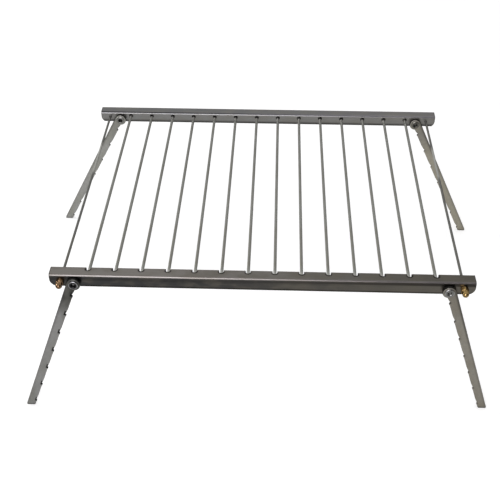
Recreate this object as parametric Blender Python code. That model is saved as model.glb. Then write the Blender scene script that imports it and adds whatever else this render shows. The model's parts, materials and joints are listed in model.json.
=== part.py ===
"""Folding camp grill: two sheet channel rails, a grate of loose rods and four folding legs.

Everything is laid out on a level grill frame whose origin is the middle of the tie rods' plane.
X runs along the rails, Y from the front rail to the back rail and Z up. Each leg stands at an angle
of its own, so the frame is then tipped until all four soles lie on the floor, z = 0.
"""

from math import atan2, cos, pi, radians, sin, sqrt, tan

import bmesh
import bpy
from mathutils import Matrix, Vector

# Rails, in metres
RAIL_LENGTH = 0.320
GRILL_DEPTH = 0.255         # over the outer flanges of both rails
RAIL_WIDTH = 0.0105
RAIL_HEIGHT = 0.0112        # at the outer flange
INNER_SHORTER = 0.0009      # how much shorter the inner flange is
SHEET = 0.0012
BEND_RADIUS = 0.0020        # outside of the bend
FLANGE_CORNER = 0.0060      # rounded lower corner at each end of a flange

# Grate
ROD_COUNT = 14              # loose rods, between the two tie rods
ROD_DIAMETER = 0.0024
ROD_PLAY = 0.0006           # round a rod in its hole
HOLE_BELOW_BEND = 0.0001
SLOT_REACH = 0.0046         # of a front slot, into the rail's top
TIP_CLEARANCE = 0.0006      # between a rod's front tip and the end of its slot
TAIL_CLEARANCE = 0.0008     # between a rod's back end and the outer flange

# Tie rods, their cap nuts in front and their thin nuts behind
TIE_INSET = 0.0085          # from the rail's end
TIE_DROP = 0.0054           # below the rail's top
TIE_DIAMETER = 0.0021
NUT_ACROSS_FLATS = 0.0055
NUT_HEX_HEIGHT = 0.0040
NUT_DOME_RADIUS = 0.0025
NUT_DOME_STRAIGHT = 0.0022
NUT_CHAMFER = 0.0004
NUT_WALL = 0.0012           # brass left over the end of the thread
BACK_NUT_HEIGHT = 0.0016
TIE_STUB = 0.0008           # of the thread, past the back nut

# Legs
PIVOT_DROP = 0.0069         # below the rail's top
FRONT_RIGHT_SLIP = 0.0011   # how much nearer the rail's middle that pivot was punched
LEG_HEAD_RADIUS = 0.0052
LEG_WIDTH = 0.0075          # at the head
FOOT_WIDTH = 0.0068
LEG_THICKNESS = 0.0024
FOLDED_GAP = 0.0029         # between a folded leg's length and the middle of the rail
NOTCH_RADIUS = 0.0016
NOTCH_DEPTH = 0.0009
NOTCH_PLAY = 0.0004         # at least, under a rod when the leg is folded
NOTCH_RAMP = 0.0060
NOTCH_HOOK = 0.0003         # how far a notch's tip stands out of the leg's edge
FOOT_ROUND = 0.0012
SOLE_TRIM = 0.0003          # ground off the rounded end, to leave a flat sole

# How each leg stands: swung out from the vertical, and leaning back on its loose rivet
FRONT_LEFT_SPLAY = radians(20.6)
FRONT_RIGHT_SPLAY = radians(18.3)
BACK_LEFT_SPLAY = radians(27.6)
FRONT_LEFT_LEAN = radians(-1.8)
FRONT_RIGHT_LEAN = radians(2.6)
BACK_LEFT_LEAN = radians(2.4)
BACK_RIGHT_LEAN = radians(0.0)

# Rivets with a flared blind bore, and spacer washers
RIVET_BORE = 0.0030
RIVET_MOUTH = 0.0052        # of the bore, at the rim
RIVET_FLARE = 0.0009        # how deep the bore narrows
RIVET_DEPTH = 0.0017        # of the bore
RIVET_SHANK = 0.0044
RIVET_FLANGE = 0.0076
RIVET_LIP = 0.0006
WASHER_DIAMETER = 0.0088
WASHER_THICKNESS = 0.0008

# Fits
SEAT_GAP = 0.0003           # between pieces that touch
RUNNING_GAP = 0.00015       # round a shank in its hole
OVERCUT = 0.004             # how far a cutter runs past the sheet

# Facets
BEND_STEPS = 4
ROUND_STEPS = 16
HOLE_STEPS = 16

# Sizes that follow
HALF_LENGTH = RAIL_LENGTH / 2
HALF_DEPTH = GRILL_DEPTH / 2
TIE_X = HALF_LENGTH - TIE_INSET
ROD_PITCH = 2 * TIE_X / (ROD_COUNT + 1)
PIVOT_X = TIE_X - ROD_PITCH / 2
HOLE_RADIUS = ROD_DIAMETER / 2 + ROD_PLAY
TIE_HOLE_RADIUS = TIE_DIAMETER / 2 + SEAT_GAP
PIVOT_HOLE_RADIUS = RIVET_SHANK / 2 + RUNNING_GAP
LEG_LENGTH = PIVOT_X - FOLDED_GAP

# Heights on the level frame
TOP_Z = TIE_DROP
HOLE_Z = TOP_Z - BEND_RADIUS - HOLE_BELOW_BEND - HOLE_RADIUS
ROD_Z = HOLE_Z - HOLE_RADIUS + SEAT_GAP + ROD_DIAMETER / 2
PIVOT_Z = TOP_Z - PIVOT_DROP

# Depths in a leg's stack, outward from the flange that carries it
WASHER_NEAR = SEAT_GAP
LEG_NEAR = WASHER_NEAR + WASHER_THICKNESS + SEAT_GAP
RIVET_NEAR = LEG_NEAR + LEG_THICKNESS + SEAT_GAP

# Where the rails' faces lie along Y
FRONT_OUTER = -HALF_DEPTH
FRONT_INNER = FRONT_OUTER + RAIL_WIDTH
BACK_OUTER = HALF_DEPTH
BACK_INNER = BACK_OUTER - RAIL_WIDTH
LEG_FLANGES = {"front": FRONT_OUTER, "back": BACK_INNER}
SIDES = {"left": -1, "right": 1}
SET_SPLAYS = {("front", "left"): FRONT_LEFT_SPLAY, ("front", "right"): FRONT_RIGHT_SPLAY,
              ("back", "left"): BACK_LEFT_SPLAY}
SLIPS = {("front", "right"): FRONT_RIGHT_SLIP}
LEANS = {("front", "left"): FRONT_LEFT_LEAN, ("front", "right"): FRONT_RIGHT_LEAN,
         ("back", "left"): BACK_LEFT_LEAN, ("back", "right"): BACK_RIGHT_LEAN}

STAINLESS = ("stainless sheet", (0.36, 0.34, 0.32), 0.34, 1.0)
ROD_STEEL = ("rod steel", (0.40, 0.40, 0.37), 0.38, 1.0)
TIE_STEEL = ("tie rod steel", (0.22, 0.22, 0.21), 0.42, 1.0)
LEG_STEEL = ("leg steel", (0.42, 0.41, 0.38), 0.40, 1.0)
RIVET_STEEL = ("rivet steel", (0.62, 0.62, 0.64), 0.24, 1.0)
WASHER_STEEL = ("washer steel", (0.07, 0.07, 0.08), 0.45, 1.0)
BRASS = ("brass", (0.52, 0.33, 0.12), 0.30, 1.0)


def clear_scene():
    """Remove every object that the file holds."""
    for thing in list(bpy.data.objects):
        bpy.data.objects.remove(thing, do_unlink=True)


def material(finish):
    """The Principled material of a finish, made once."""
    name, colour, roughness, metallic = finish
    if name in bpy.data.materials:
        return bpy.data.materials[name]
    made = bpy.data.materials.new(name)
    made.use_nodes = True
    shader = made.node_tree.nodes["Principled BSDF"]
    shader.inputs["Base Color"].default_value = (*colour, 1.0)
    shader.inputs["Roughness"].default_value = roughness
    shader.inputs["Metallic"].default_value = metallic
    return made


def add_object(name, mesh, finish=None, parent=None, matrix=Matrix()):
    """Link a mesh as an object, placed under its parent by a local matrix."""
    thing = bpy.data.objects.new(name, mesh)
    bpy.context.scene.collection.objects.link(thing)
    if finish:
        if not mesh.materials:
            mesh.materials.append(material(finish))
        mesh.shade_smooth()
        mesh.set_sharp_from_angle(angle=radians(30))
    thing.parent = parent
    thing.matrix_local = matrix
    return thing


def add_cutter(name, mesh, parent):
    """Link a mesh as a cutter that is never shown solid."""
    thing = add_object(name, mesh, parent=parent)
    thing.hide_render = True
    thing.display_type = "WIRE"
    return thing


def boolean(thing, cutter, operation="DIFFERENCE"):
    """Cut a piece with, or keep it inside, another mesh."""
    step = thing.modifiers.new(cutter.name, "BOOLEAN")
    step.operation = operation
    step.solver = "EXACT"
    step.object = cutter


def finish_mesh(name, builder):
    """Turn a bmesh into a mesh whose faces point outward."""
    bmesh.ops.recalc_face_normals(builder, faces=builder.faces)
    mesh = bpy.data.meshes.new(name)
    builder.to_mesh(mesh)
    builder.free()
    return mesh


def arc(centre, radius, start, end, steps):
    """Points on an arc, both ends included."""
    return [(centre[0] + radius * cos(start + (end - start) * i / steps),
             centre[1] + radius * sin(start + (end - start) * i / steps)) for i in range(steps + 1)]


def rounded(corners, steps=4):
    """An outline through corners given as (x, y, radius), each corner rounded by an arc."""
    outline = []
    for i, (x, y, radius) in enumerate(corners):
        here = Vector((x, y))
        if not radius:
            outline.append((x, y))
            continue
        before = (Vector(corners[i - 1][:2]) - here).normalized()
        after = (Vector(corners[(i + 1) % len(corners)][:2]) - here).normalized()
        half = before.angle(after) / 2
        centre = here + (before + after).normalized() * radius / sin(half)
        first = here + before * radius / tan(half) - centre
        last = here + after * radius / tan(half) - centre
        start = atan2(first.y, first.x)
        turn = (atan2(last.y, last.x) - start + pi) % (2 * pi) - pi
        outline += arc(centre, radius, start, start + turn, steps)
    return outline


def extrude_outline(builder, outline, near, far, axis, holes=()):
    """Add a prism: an outline in the plane across an axis, with round holes, from near to far."""
    def place(point, depth):
        return {"x": (depth, *point), "y": (point[0], depth, point[1])}[axis]
    loops = [outline, *holes]
    rings = [[[builder.verts.new(place(p, depth)) for p in loop] for depth in (near, far)]
             for loop in loops]
    for end in (0, 1):
        edges = []
        for ring in rings:
            loop = ring[end]
            edges += [builder.edges.new((a, b)) for a, b in zip(loop, loop[1:] + loop[:1])]
        bmesh.ops.triangle_fill(builder, use_beauty=True, use_dissolve=False, edges=edges)
    for near_loop, far_loop in rings:
        for i in range(len(near_loop)):
            j = (i + 1) % len(near_loop)
            builder.faces.new((near_loop[i], near_loop[j], far_loop[j], far_loop[i]))


def turned(builder, profile, steps, matrix=Matrix(), closed=False):
    """Add a turned body: a profile of (radius, height) points round Z, poles where radius is 0."""
    rings = []
    for radius, height in profile:
        if radius == 0:
            rings.append([builder.verts.new(matrix @ Vector((0, 0, height)))])
            continue
        rings.append([builder.verts.new(matrix @ Vector((radius * cos(2 * pi * i / steps),
                                                         radius * sin(2 * pi * i / steps), height)))
                      for i in range(steps)])
    pairs = list(zip(rings, rings[1:]))
    if closed:
        pairs.append((rings[-1], rings[0]))
    for low, high in pairs:
        for i in range(steps):
            j = (i + 1) % steps
            if len(low) == 1:
                builder.faces.new((low[0], high[j], high[i]))
            elif len(high) == 1:
                builder.faces.new((low[i], low[j], high[0]))
            else:
                builder.faces.new((low[i], low[j], high[j], high[i]))


def along_y(x, z):
    """Places a body that was turned round Z so that its axis runs along +Y at (x, z)."""
    return Matrix.Translation((x, 0, z)) @ Matrix.Rotation(-pi / 2, 4, "X")


def cut_round(builder, x, z, radius, near, far):
    """Add a round cutter along Y from near to far."""
    low, high = min(near, far), max(near, far)
    turned(builder, [(0, low), (radius, low), (radius, high), (0, high)], HOLE_STEPS, along_y(x, z))


def rod_places():
    """X of every loose rod, left to right."""
    return [-TIE_X + ROD_PITCH * (i + 1) for i in range(ROD_COUNT)]


def pivot_place(row, word, out):
    """A point on a leg's pivot on the level frame, some way out from the flange that carries it."""
    x = SIDES[word] * (PIVOT_X - SLIPS.get((row, word), 0))
    return Vector((x, LEG_FLANGES[row] - out, PIVOT_Z))


def leg_place(row, word, splay):
    """Where a leg hangs on the level frame, its origin on its pivot's axis."""
    return (Matrix.Translation(pivot_place(row, word, LEG_NEAR + LEG_THICKNESS / 2))
            @ Matrix.Rotation(LEANS[row, word], 4, "X")
            @ Matrix.Rotation(-SIDES[word] * splay, 4, "Y"))


def foot_middle(row, word, splay):
    """Middle of a leg's foot on the level frame."""
    across = LEG_HEAD_RADIUS - FOOT_WIDTH / 2
    return leg_place(row, word, splay) @ Vector((SIDES[word] * across, 0, -LEG_LENGTH))


def floor_plane():
    """The floor under the three legs whose splay is set, on the level frame: (point, normal)."""
    feet = [foot_middle(row, word, splay) for (row, word), splay in SET_SPLAYS.items()]
    return feet[0], (feet[1] - feet[0]).cross(feet[2] - feet[0]).normalized()


def fourth_splay():
    """The splay that brings the back right foot down to the same floor."""
    point, normal = floor_plane()
    small, large = 0.0, radians(80)
    for _ in range(50):
        middle = (small + large) / 2
        if (foot_middle("back", "right", middle) - point).dot(normal) < 0:
            small = middle
        else:
            large = middle
    return (small + large) / 2


def leg_splays():
    """Every leg's splay, by row and side."""
    return {**SET_SPLAYS, ("back", "right"): fourth_splay()}


def outermost_points():
    """Points on the level frame that reach furthest out: feet, cap nuts and tie rods."""
    across, thick = FOOT_WIDTH / 2, LEG_THICKNESS / 2
    nut_tip = HALF_DEPTH + SEAT_GAP + NUT_HEX_HEIGHT + NUT_DOME_STRAIGHT + NUT_DOME_RADIUS
    points = [Vector((side * TIE_X, y, 0)) for side in (-1, 1) for y in (-nut_tip, tie_back_end())]
    for (row, word), splay in leg_splays().items():
        spin = leg_place(row, word, splay).to_3x3()
        points += [foot_middle(row, word, splay) + spin @ Vector((i * across, j * thick, 0))
                   for i in (-1, 1) for j in (-1, 1)]
    return points


def make_frame():
    """The empty that carries every piece, tipped and lifted onto the floor, over its middle."""
    point, normal = floor_plane()
    turn = normal.rotation_difference(Vector((0, 0, 1)))
    reach = [turn @ corner for corner in outermost_points()]
    middle_x, middle_y = ((min(p[i] for p in reach) + max(p[i] for p in reach)) / 2 for i in (0, 1))
    frame = bpy.data.objects.new("grill_frame", None)
    bpy.context.scene.collection.objects.link(frame)
    frame.location = (-middle_x, -middle_y, -(turn @ point).z)
    frame.rotation_euler = turn.to_euler()
    bpy.context.view_layer.update()
    return frame


def channel_section(outer_y, toward):
    """Section of a channel, open side down, whose outer flange faces away from toward (+1 or -1)."""
    inner_radius = BEND_RADIUS - SHEET
    bottom = TOP_Z - RAIL_HEIGHT
    inner_bottom = bottom + INNER_SHORTER
    outside = ([(0, bottom)] + arc((BEND_RADIUS, TOP_Z - BEND_RADIUS), BEND_RADIUS, pi, pi / 2, BEND_STEPS)
               + arc((RAIL_WIDTH - BEND_RADIUS, TOP_Z - BEND_RADIUS), BEND_RADIUS, pi / 2, 0, BEND_STEPS)
               + [(RAIL_WIDTH, inner_bottom)])
    inside = ([(RAIL_WIDTH - SHEET, inner_bottom)]
              + arc((RAIL_WIDTH - BEND_RADIUS, TOP_Z - BEND_RADIUS), inner_radius, 0, pi / 2, BEND_STEPS)
              + arc((BEND_RADIUS, TOP_Z - BEND_RADIUS), inner_radius, pi / 2, pi, BEND_STEPS)
              + [(SHEET, bottom)])
    return [(outer_y + toward * y, z) for y, z in outside + inside]


def add_channel(name, outer_y, toward, frame):
    """A bare channel with rounded lower corners at its ends."""
    builder = bmesh.new()
    extrude_outline(builder, channel_section(outer_y, toward), -HALF_LENGTH, HALF_LENGTH, "x")
    rail = add_object(name, finish_mesh(name, builder), STAINLESS, frame)
    bottom = TOP_Z - RAIL_HEIGHT
    side = [(-HALF_LENGTH, TOP_Z + OVERCUT, 0), (HALF_LENGTH, TOP_Z + OVERCUT, 0),
            (HALF_LENGTH, bottom, FLANGE_CORNER), (-HALF_LENGTH, bottom, FLANGE_CORNER)]
    builder = bmesh.new()
    extrude_outline(builder, rounded(side, 6), outer_y - toward * OVERCUT,
                    outer_y + toward * (RAIL_WIDTH + OVERCUT), "y")
    boolean(rail, add_cutter(name + "_outline", finish_mesh(name + "_outline", builder), frame),
            "INTERSECT")
    return rail


def cut_tie_holes(builder, outer_y, toward):
    """Cutters for the two tie rods, through both flanges."""
    for side in SIDES.values():
        cut_round(builder, side * TIE_X, 0, TIE_HOLE_RADIUS,
                  outer_y - toward * OVERCUT, outer_y + toward * (RAIL_WIDTH + OVERCUT))


def cut_pivot_holes(builder, row):
    """Cutters for the two leg pivots, through the flange that carries them."""
    for word in SIDES:
        x, face, z = pivot_place(row, word, 0)
        cut_round(builder, x, z, PIVOT_HOLE_RADIUS, face - OVERCUT, face + 2 * SHEET)


def make_back_rail(frame):
    """Back rail: a round hole for each loose rod in its inner flange."""
    rail = add_channel("back_rail", BACK_OUTER, -1, frame)
    builder = bmesh.new()
    cut_tie_holes(builder, BACK_OUTER, -1)
    cut_pivot_holes(builder, "back")
    for x in rod_places():
        cut_round(builder, x, HOLE_Z, HOLE_RADIUS, BACK_INNER - OVERCUT, BACK_INNER + 2 * SHEET)
    boolean(rail, add_cutter("back_rail_holes", finish_mesh("back_rail_holes", builder), frame))
    return rail


def make_front_rail(frame):
    """Front rail: a slot for each loose rod, down its inner flange and open at the top."""
    rail = add_channel("front_rail", FRONT_OUTER, 1, frame)
    builder = bmesh.new()
    cut_tie_holes(builder, FRONT_OUTER, 1)
    cut_pivot_holes(builder, "front")
    slot_end = FRONT_INNER - SLOT_REACH + HOLE_RADIUS
    for x in rod_places():
        slot = (arc((x, HOLE_Z), HOLE_RADIUS, pi, 2 * pi, HOLE_STEPS // 2)
                + [(x + HOLE_RADIUS, TOP_Z + OVERCUT), (x - HOLE_RADIUS, TOP_Z + OVERCUT)])
        extrude_outline(builder, slot, slot_end, FRONT_INNER + OVERCUT, "y")
    boolean(rail, add_cutter("front_rail_slots", finish_mesh("front_rail_slots", builder), frame))
    builder = bmesh.new()
    for x in rod_places():
        turned(builder, [(0, HOLE_Z), (HOLE_RADIUS, HOLE_Z), (HOLE_RADIUS, TOP_Z + OVERCUT),
                         (0, TOP_Z + OVERCUT)], HOLE_STEPS, Matrix.Translation((x, slot_end, 0)))
    boolean(rail, add_cutter("front_slot_ends", finish_mesh("front_slot_ends", builder), frame))
    return rail


def rod_mesh(name, radius, near, far, chamfer):
    """A round rod along Y, its origin at y = 0."""
    builder = bmesh.new()
    turned(builder, [(0, near), (radius - chamfer, near), (radius, near + chamfer),
                     (radius, far - chamfer), (radius - chamfer, far), (0, far)],
           12, along_y(0, 0))
    return finish_mesh(name, builder)


def make_grill_rods(frame):
    """Loose rods, each with its origin where it tips: on its underside in the back rail's hole."""
    hinge_y = BACK_INNER + SHEET / 2
    hinge_z = ROD_Z - ROD_DIAMETER / 2
    near = FRONT_INNER - SLOT_REACH + TIP_CLEARANCE - hinge_y
    far = BACK_OUTER - SHEET - TAIL_CLEARANCE - hinge_y
    mesh = rod_mesh("grill_rod", ROD_DIAMETER / 2, near, far, 0.0003)
    mesh.transform(Matrix.Translation((0, 0, ROD_DIAMETER / 2)))
    for i, x in enumerate(rod_places()):
        add_object(f"grill_rod_{i + 1:02d}", mesh, ROD_STEEL, frame,
                   Matrix.Translation((x, hinge_y, hinge_z)))


def tie_front_end():
    """Y of a tie rod's front end, inside its cap nut."""
    return -(HALF_DEPTH + NUT_HEX_HEIGHT + NUT_DOME_STRAIGHT + NUT_DOME_RADIUS - NUT_WALL)


def tie_back_end():
    """Y of a tie rod's back end, a little past its thin nut."""
    return HALF_DEPTH + SEAT_GAP + BACK_NUT_HEIGHT + TIE_STUB


def make_tie_rods(frame):
    """Tie rods, through both rails and their nuts."""
    mesh = rod_mesh("tie_rod", TIE_DIAMETER / 2, tie_front_end(), tie_back_end(), 0.0003)
    for word, side in SIDES.items():
        add_object("tie_rod_" + word, mesh, TIE_STEEL, frame, Matrix.Translation((side * TIE_X, 0, 0)))


def cap_nut_mesh():
    """A cap nut round Z, seated on z = 0: turned with a blind bore."""
    bore = TIE_DIAMETER / 2 + SEAT_GAP
    corner = NUT_ACROSS_FLATS / sqrt(3)
    dome_start = NUT_HEX_HEIGHT + NUT_DOME_STRAIGHT
    dome = [(NUT_DOME_RADIUS * cos(a), dome_start + NUT_DOME_RADIUS * sin(a))
            for a in (pi / 2 * i / 4 for i in range(4))]
    profile = ([(bore, 0), (corner - NUT_CHAMFER, 0), (corner, NUT_CHAMFER),
                (corner, NUT_HEX_HEIGHT - NUT_CHAMFER), (corner - NUT_CHAMFER, NUT_HEX_HEIGHT),
                (NUT_DOME_RADIUS, NUT_HEX_HEIGHT)] + dome
               + [(0, dome_start + NUT_DOME_RADIUS)])
    depth = dome_start + NUT_DOME_RADIUS - NUT_WALL
    builder = bmesh.new()
    turned(builder, [(0, depth), (bore, depth)] + profile, 18)
    return finish_mesh("cap_nut", builder)


def thin_nut_mesh():
    """A thin nut round Z, seated on z = 0: turned with a through bore."""
    bore = TIE_DIAMETER / 2 + SEAT_GAP
    corner = NUT_ACROSS_FLATS / sqrt(3)
    builder = bmesh.new()
    turned(builder, [(bore, 0), (corner - NUT_CHAMFER, 0), (corner, NUT_CHAMFER),
                     (corner, BACK_NUT_HEIGHT - NUT_CHAMFER), (corner - NUT_CHAMFER, BACK_NUT_HEIGHT),
                     (bore, BACK_NUT_HEIGHT)], 18, closed=True)
    return finish_mesh("thin_nut", builder)


def hex_mesh():
    """A nut's six flats, as a prism round Z."""
    builder = bmesh.new()
    corner = NUT_ACROSS_FLATS / sqrt(3)
    top = NUT_HEX_HEIGHT + NUT_DOME_STRAIGHT + NUT_DOME_RADIUS + OVERCUT
    turned(builder, [(0, -OVERCUT), (corner, -OVERCUT), (corner, top), (0, top)], 6)
    return finish_mesh("nut_flats", builder)


def make_nuts(frame):
    """Nuts outside both rails, on the ends of the tie rods: cap nuts in front, thin nuts behind."""
    flats = hex_mesh()
    for row, outward, nut in (("front", -1, cap_nut_mesh()), ("back", 1, thin_nut_mesh())):
        for word, side in SIDES.items():
            seat = outward * (HALF_DEPTH + SEAT_GAP)
            place = Matrix.Translation((side * TIE_X, seat, 0)) @ Matrix.Rotation(-outward * pi / 2, 4, "X")
            made = add_object(f"nut_{row}_{word}", nut, BRASS, frame, place)
            cutter = add_cutter(f"nut_flats_{row}_{word}", flats, frame)
            cutter.matrix_local = place
            boolean(made, cutter, "INTERSECT")


def crest(along):
    """The notched edge, measured across the leg from its pivot, at a distance along the leg."""
    width = LEG_WIDTH + (FOOT_WIDTH - LEG_WIDTH) * along / LEG_LENGTH
    return width - LEG_HEAD_RADIUS


def notch_outline(middle):
    """One notch of the edge, from head to foot: a long ramp, a round bite and a small hook."""
    top = crest(middle)
    floor = min(top - NOTCH_DEPTH, ROD_Z - ROD_DIAMETER / 2 - PIVOT_Z - NOTCH_PLAY)
    centre = (middle, floor + NOTCH_RADIUS)
    ramp_foot = floor + (top - floor) * 0.45
    start = pi - asin_clamped((ramp_foot - centre[1]) / NOTCH_RADIUS)
    end = 2 * pi + asin_clamped((top - centre[1]) / NOTCH_RADIUS)
    ramp_start = max(middle - NOTCH_RAMP, LEG_HEAD_RADIUS + NOTCH_HOOK)
    tip = centre[0] + NOTCH_RADIUS * cos(end)
    return ([(ramp_start, crest(ramp_start)),
             ((ramp_start + middle - NOTCH_RADIUS) / 2, top - (top - ramp_foot) * 0.3)]
            + arc(centre, NOTCH_RADIUS, start, end, 6)
            + [(tip + NOTCH_HOOK, top + NOTCH_HOOK), (tip + 5 * NOTCH_HOOK, crest(tip))])


def asin_clamped(value):
    """Arc sine that holds at a quarter turn."""
    value = max(-1.0, min(1.0, value))
    return atan2(value, sqrt(max(0.0, 1 - value * value)))


def leg_outline(splay):
    """A leg's outline as (along, across): head, notched edge, sole and straight outer edge."""
    sole = LEG_LENGTH * cos(splay) + (FOOT_WIDTH / 2 - LEG_HEAD_RADIUS) * sin(splay) + SOLE_TRIM

    def on_sole(across):
        return (sole - across * sin(splay)) / cos(splay)

    neck = asin_clamped(crest(0) / LEG_HEAD_RADIUS)
    outline = arc((0, 0), LEG_HEAD_RADIUS, -pi / 2, neck - 2 * pi, 14)
    for i in range(ROD_COUNT // 2):
        outline += notch_outline(ROD_PITCH * (i + 0.5))
    inner = crest(LEG_LENGTH)
    foot = [(outline[-1][0], outline[-1][1], 0), (on_sole(inner), inner, FOOT_ROUND),
            (on_sole(-LEG_HEAD_RADIUS), -LEG_HEAD_RADIUS, FOOT_ROUND), (0, -LEG_HEAD_RADIUS, 0)]
    return outline + rounded(foot)[1:-1]


def leg_mesh(name, side, splay, world):
    """A leg hanging down from its pivot, its sole cut along the floor."""
    builder = bmesh.new()
    outline = [(-side * across, -along) for along, across in leg_outline(splay)]
    hole = arc((0, 0), PIVOT_HOLE_RADIUS, 0, 2 * pi, ROUND_STEPS)[:-1]
    extrude_outline(builder, outline, -LEG_THICKNESS / 2, LEG_THICKNESS / 2, "y", [hole])
    to_leg = world.inverted()
    floor_point = to_leg @ Vector((0, 0, 0))
    floor_normal = (to_leg.to_3x3() @ Vector((0, 0, -1))).normalized()
    geometry = builder.verts[:] + builder.edges[:] + builder.faces[:]
    bmesh.ops.bisect_plane(builder, geom=geometry, plane_co=floor_point, plane_no=floor_normal,
                           clear_outer=True)
    rim = [edge for edge in builder.edges if edge.is_boundary]
    bmesh.ops.holes_fill(builder, edges=rim)
    return finish_mesh(name, builder)


def make_legs(frame):
    """Four legs of one stamping, each with its origin on its pivot's axis."""
    for (row, word), splay in leg_splays().items():
        name = f"leg_{row}_{word}"
        place = leg_place(row, word, splay)
        mesh = leg_mesh(name, SIDES[word], splay, frame.matrix_world @ place)
        add_object(name, mesh, LEG_STEEL, frame, place)


def rivet_mesh():
    """A rivet round Z with a flared bore: z = 0 is the flange's face, +Z points out past the leg."""
    bore, mouth, shank, lip = RIVET_BORE / 2, RIVET_MOUTH / 2, RIVET_SHANK / 2, RIVET_FLANGE / 2
    head, tail = RIVET_NEAR, -SHEET - SEAT_GAP
    rim, butt = head + RIVET_LIP, tail - RIVET_LIP
    curl = RIVET_LIP * 0.4
    profile = [(0, rim - RIVET_DEPTH), (bore, rim - RIVET_DEPTH), (bore, rim - RIVET_FLARE),
               (mouth, rim - curl), (mouth + curl, rim), (lip - curl, rim), (lip, rim - curl),
               (lip - curl, head), (shank, head), (shank, tail), (lip - curl, tail),
               (lip, butt + curl), (lip - curl, butt), (0, butt)]
    builder = bmesh.new()
    turned(builder, profile, ROUND_STEPS)
    return finish_mesh("flared_rivet", builder)


def washer_mesh():
    """A spacer washer round Z, on z = 0."""
    hole, rim = RIVET_SHANK / 2 + RUNNING_GAP, WASHER_DIAMETER / 2
    builder = bmesh.new()
    turned(builder, [(hole, 0), (rim, 0), (rim, WASHER_THICKNESS), (hole, WASHER_THICKNESS)],
           ROUND_STEPS, closed=True)
    return finish_mesh("spacer_washer", builder)


def make_pivots(frame):
    """A rivet and a washer for each leg, on the front side of its flange."""
    rivet, washer = rivet_mesh(), washer_mesh()
    outward = Matrix.Rotation(pi / 2, 4, "X")
    for row in LEG_FLANGES:
        for word in SIDES:
            add_object(f"rivet_{row}_{word}", rivet, RIVET_STEEL, frame,
                       Matrix.Translation(pivot_place(row, word, 0)) @ outward)
            add_object(f"washer_{row}_{word}", washer, WASHER_STEEL, frame,
                       Matrix.Translation(pivot_place(row, word, WASHER_NEAR)) @ outward)


def main():
    """Build the grill."""
    clear_scene()
    frame = make_frame()
    make_front_rail(frame)
    make_back_rail(frame)
    make_grill_rods(frame)
    make_tie_rods(frame)
    make_nuts(frame)
    make_legs(frame)
    make_pivots(frame)


main()
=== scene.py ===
"""Folding camp grill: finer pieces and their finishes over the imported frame, on a pale studio floor.

Lengths are in metres. Pieces are modelled on the level grill frame: its origin is the middle of the
tie rods' plane, X runs along the rails, Y from the front rail to the back rail and Z up. The packed
joints then say how far that frame is tipped and how each leg and rod stands on it. In a finish, a
pair whose name ends in bounds says where a mask starts and where it is full.
"""

from __future__ import annotations

import json
import logging
from dataclasses import dataclass
from enum import Enum
from itertools import product
from math import asin, atan2, cos, degrees, pi, radians, sin, sqrt, tan
from typing import Any, Iterable, Sequence

import bmesh
import bpy
from mathutils import Matrix, Vector

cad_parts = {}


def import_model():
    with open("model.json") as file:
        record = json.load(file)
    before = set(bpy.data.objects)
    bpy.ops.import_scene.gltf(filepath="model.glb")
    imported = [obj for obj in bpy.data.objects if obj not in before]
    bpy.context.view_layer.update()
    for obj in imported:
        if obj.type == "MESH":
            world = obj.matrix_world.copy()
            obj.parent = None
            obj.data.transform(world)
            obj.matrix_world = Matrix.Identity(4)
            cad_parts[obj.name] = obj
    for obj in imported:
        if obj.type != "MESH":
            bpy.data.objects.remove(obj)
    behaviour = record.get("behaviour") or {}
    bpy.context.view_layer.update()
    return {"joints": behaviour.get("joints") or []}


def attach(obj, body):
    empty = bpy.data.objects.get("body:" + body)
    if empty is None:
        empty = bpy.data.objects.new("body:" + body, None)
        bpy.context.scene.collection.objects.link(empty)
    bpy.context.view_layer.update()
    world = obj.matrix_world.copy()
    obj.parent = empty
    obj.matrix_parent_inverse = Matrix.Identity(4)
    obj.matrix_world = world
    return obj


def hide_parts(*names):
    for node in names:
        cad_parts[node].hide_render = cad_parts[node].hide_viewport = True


LOG = logging.getLogger("camp_grill")

Point = tuple[float, float]
Band = tuple[Point, Point]
Triple = tuple[float, float, float]
Colour = Triple

SMOOTH_ANGLE = radians(40)
OVERCUT = 0.003
LEAST_MITRE = 0.6
WHOLE_PITCHES = 100.0
OWN_SPACE = "own_space"


class Row(Enum):
    """Which rail a piece belongs to."""

    FRONT = "front"
    BACK = "back"

    @property
    def outward(self) -> int:
        """Direction along Y away from the grate."""
        return -1 if self is Row.FRONT else 1


class Side(Enum):
    """Which end of a rail a piece belongs to."""

    LEFT = "left"
    RIGHT = "right"

    @property
    def sign(self) -> int:
        """Direction along X away from the middle."""
        return -1 if self is Side.LEFT else 1


class Axis(Enum):
    """Axis that a prism is drawn out along."""

    X = "x"
    Y = "y"
    Z = "z"

    def place(self, point: Point, depth: float) -> Vector:
        """Puts a point of the section at a depth along the axis.

        Args:
            point: The section's two numbers, in the order of the other axes.
            depth: Place along this axis.

        Returns:
            The point in space.
        """
        if self is Axis.X:
            return Vector((depth, point[0], point[1]))
        if self is Axis.Y:
            return Vector((point[0], depth, point[1]))
        return Vector((point[0], point[1], depth))


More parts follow.
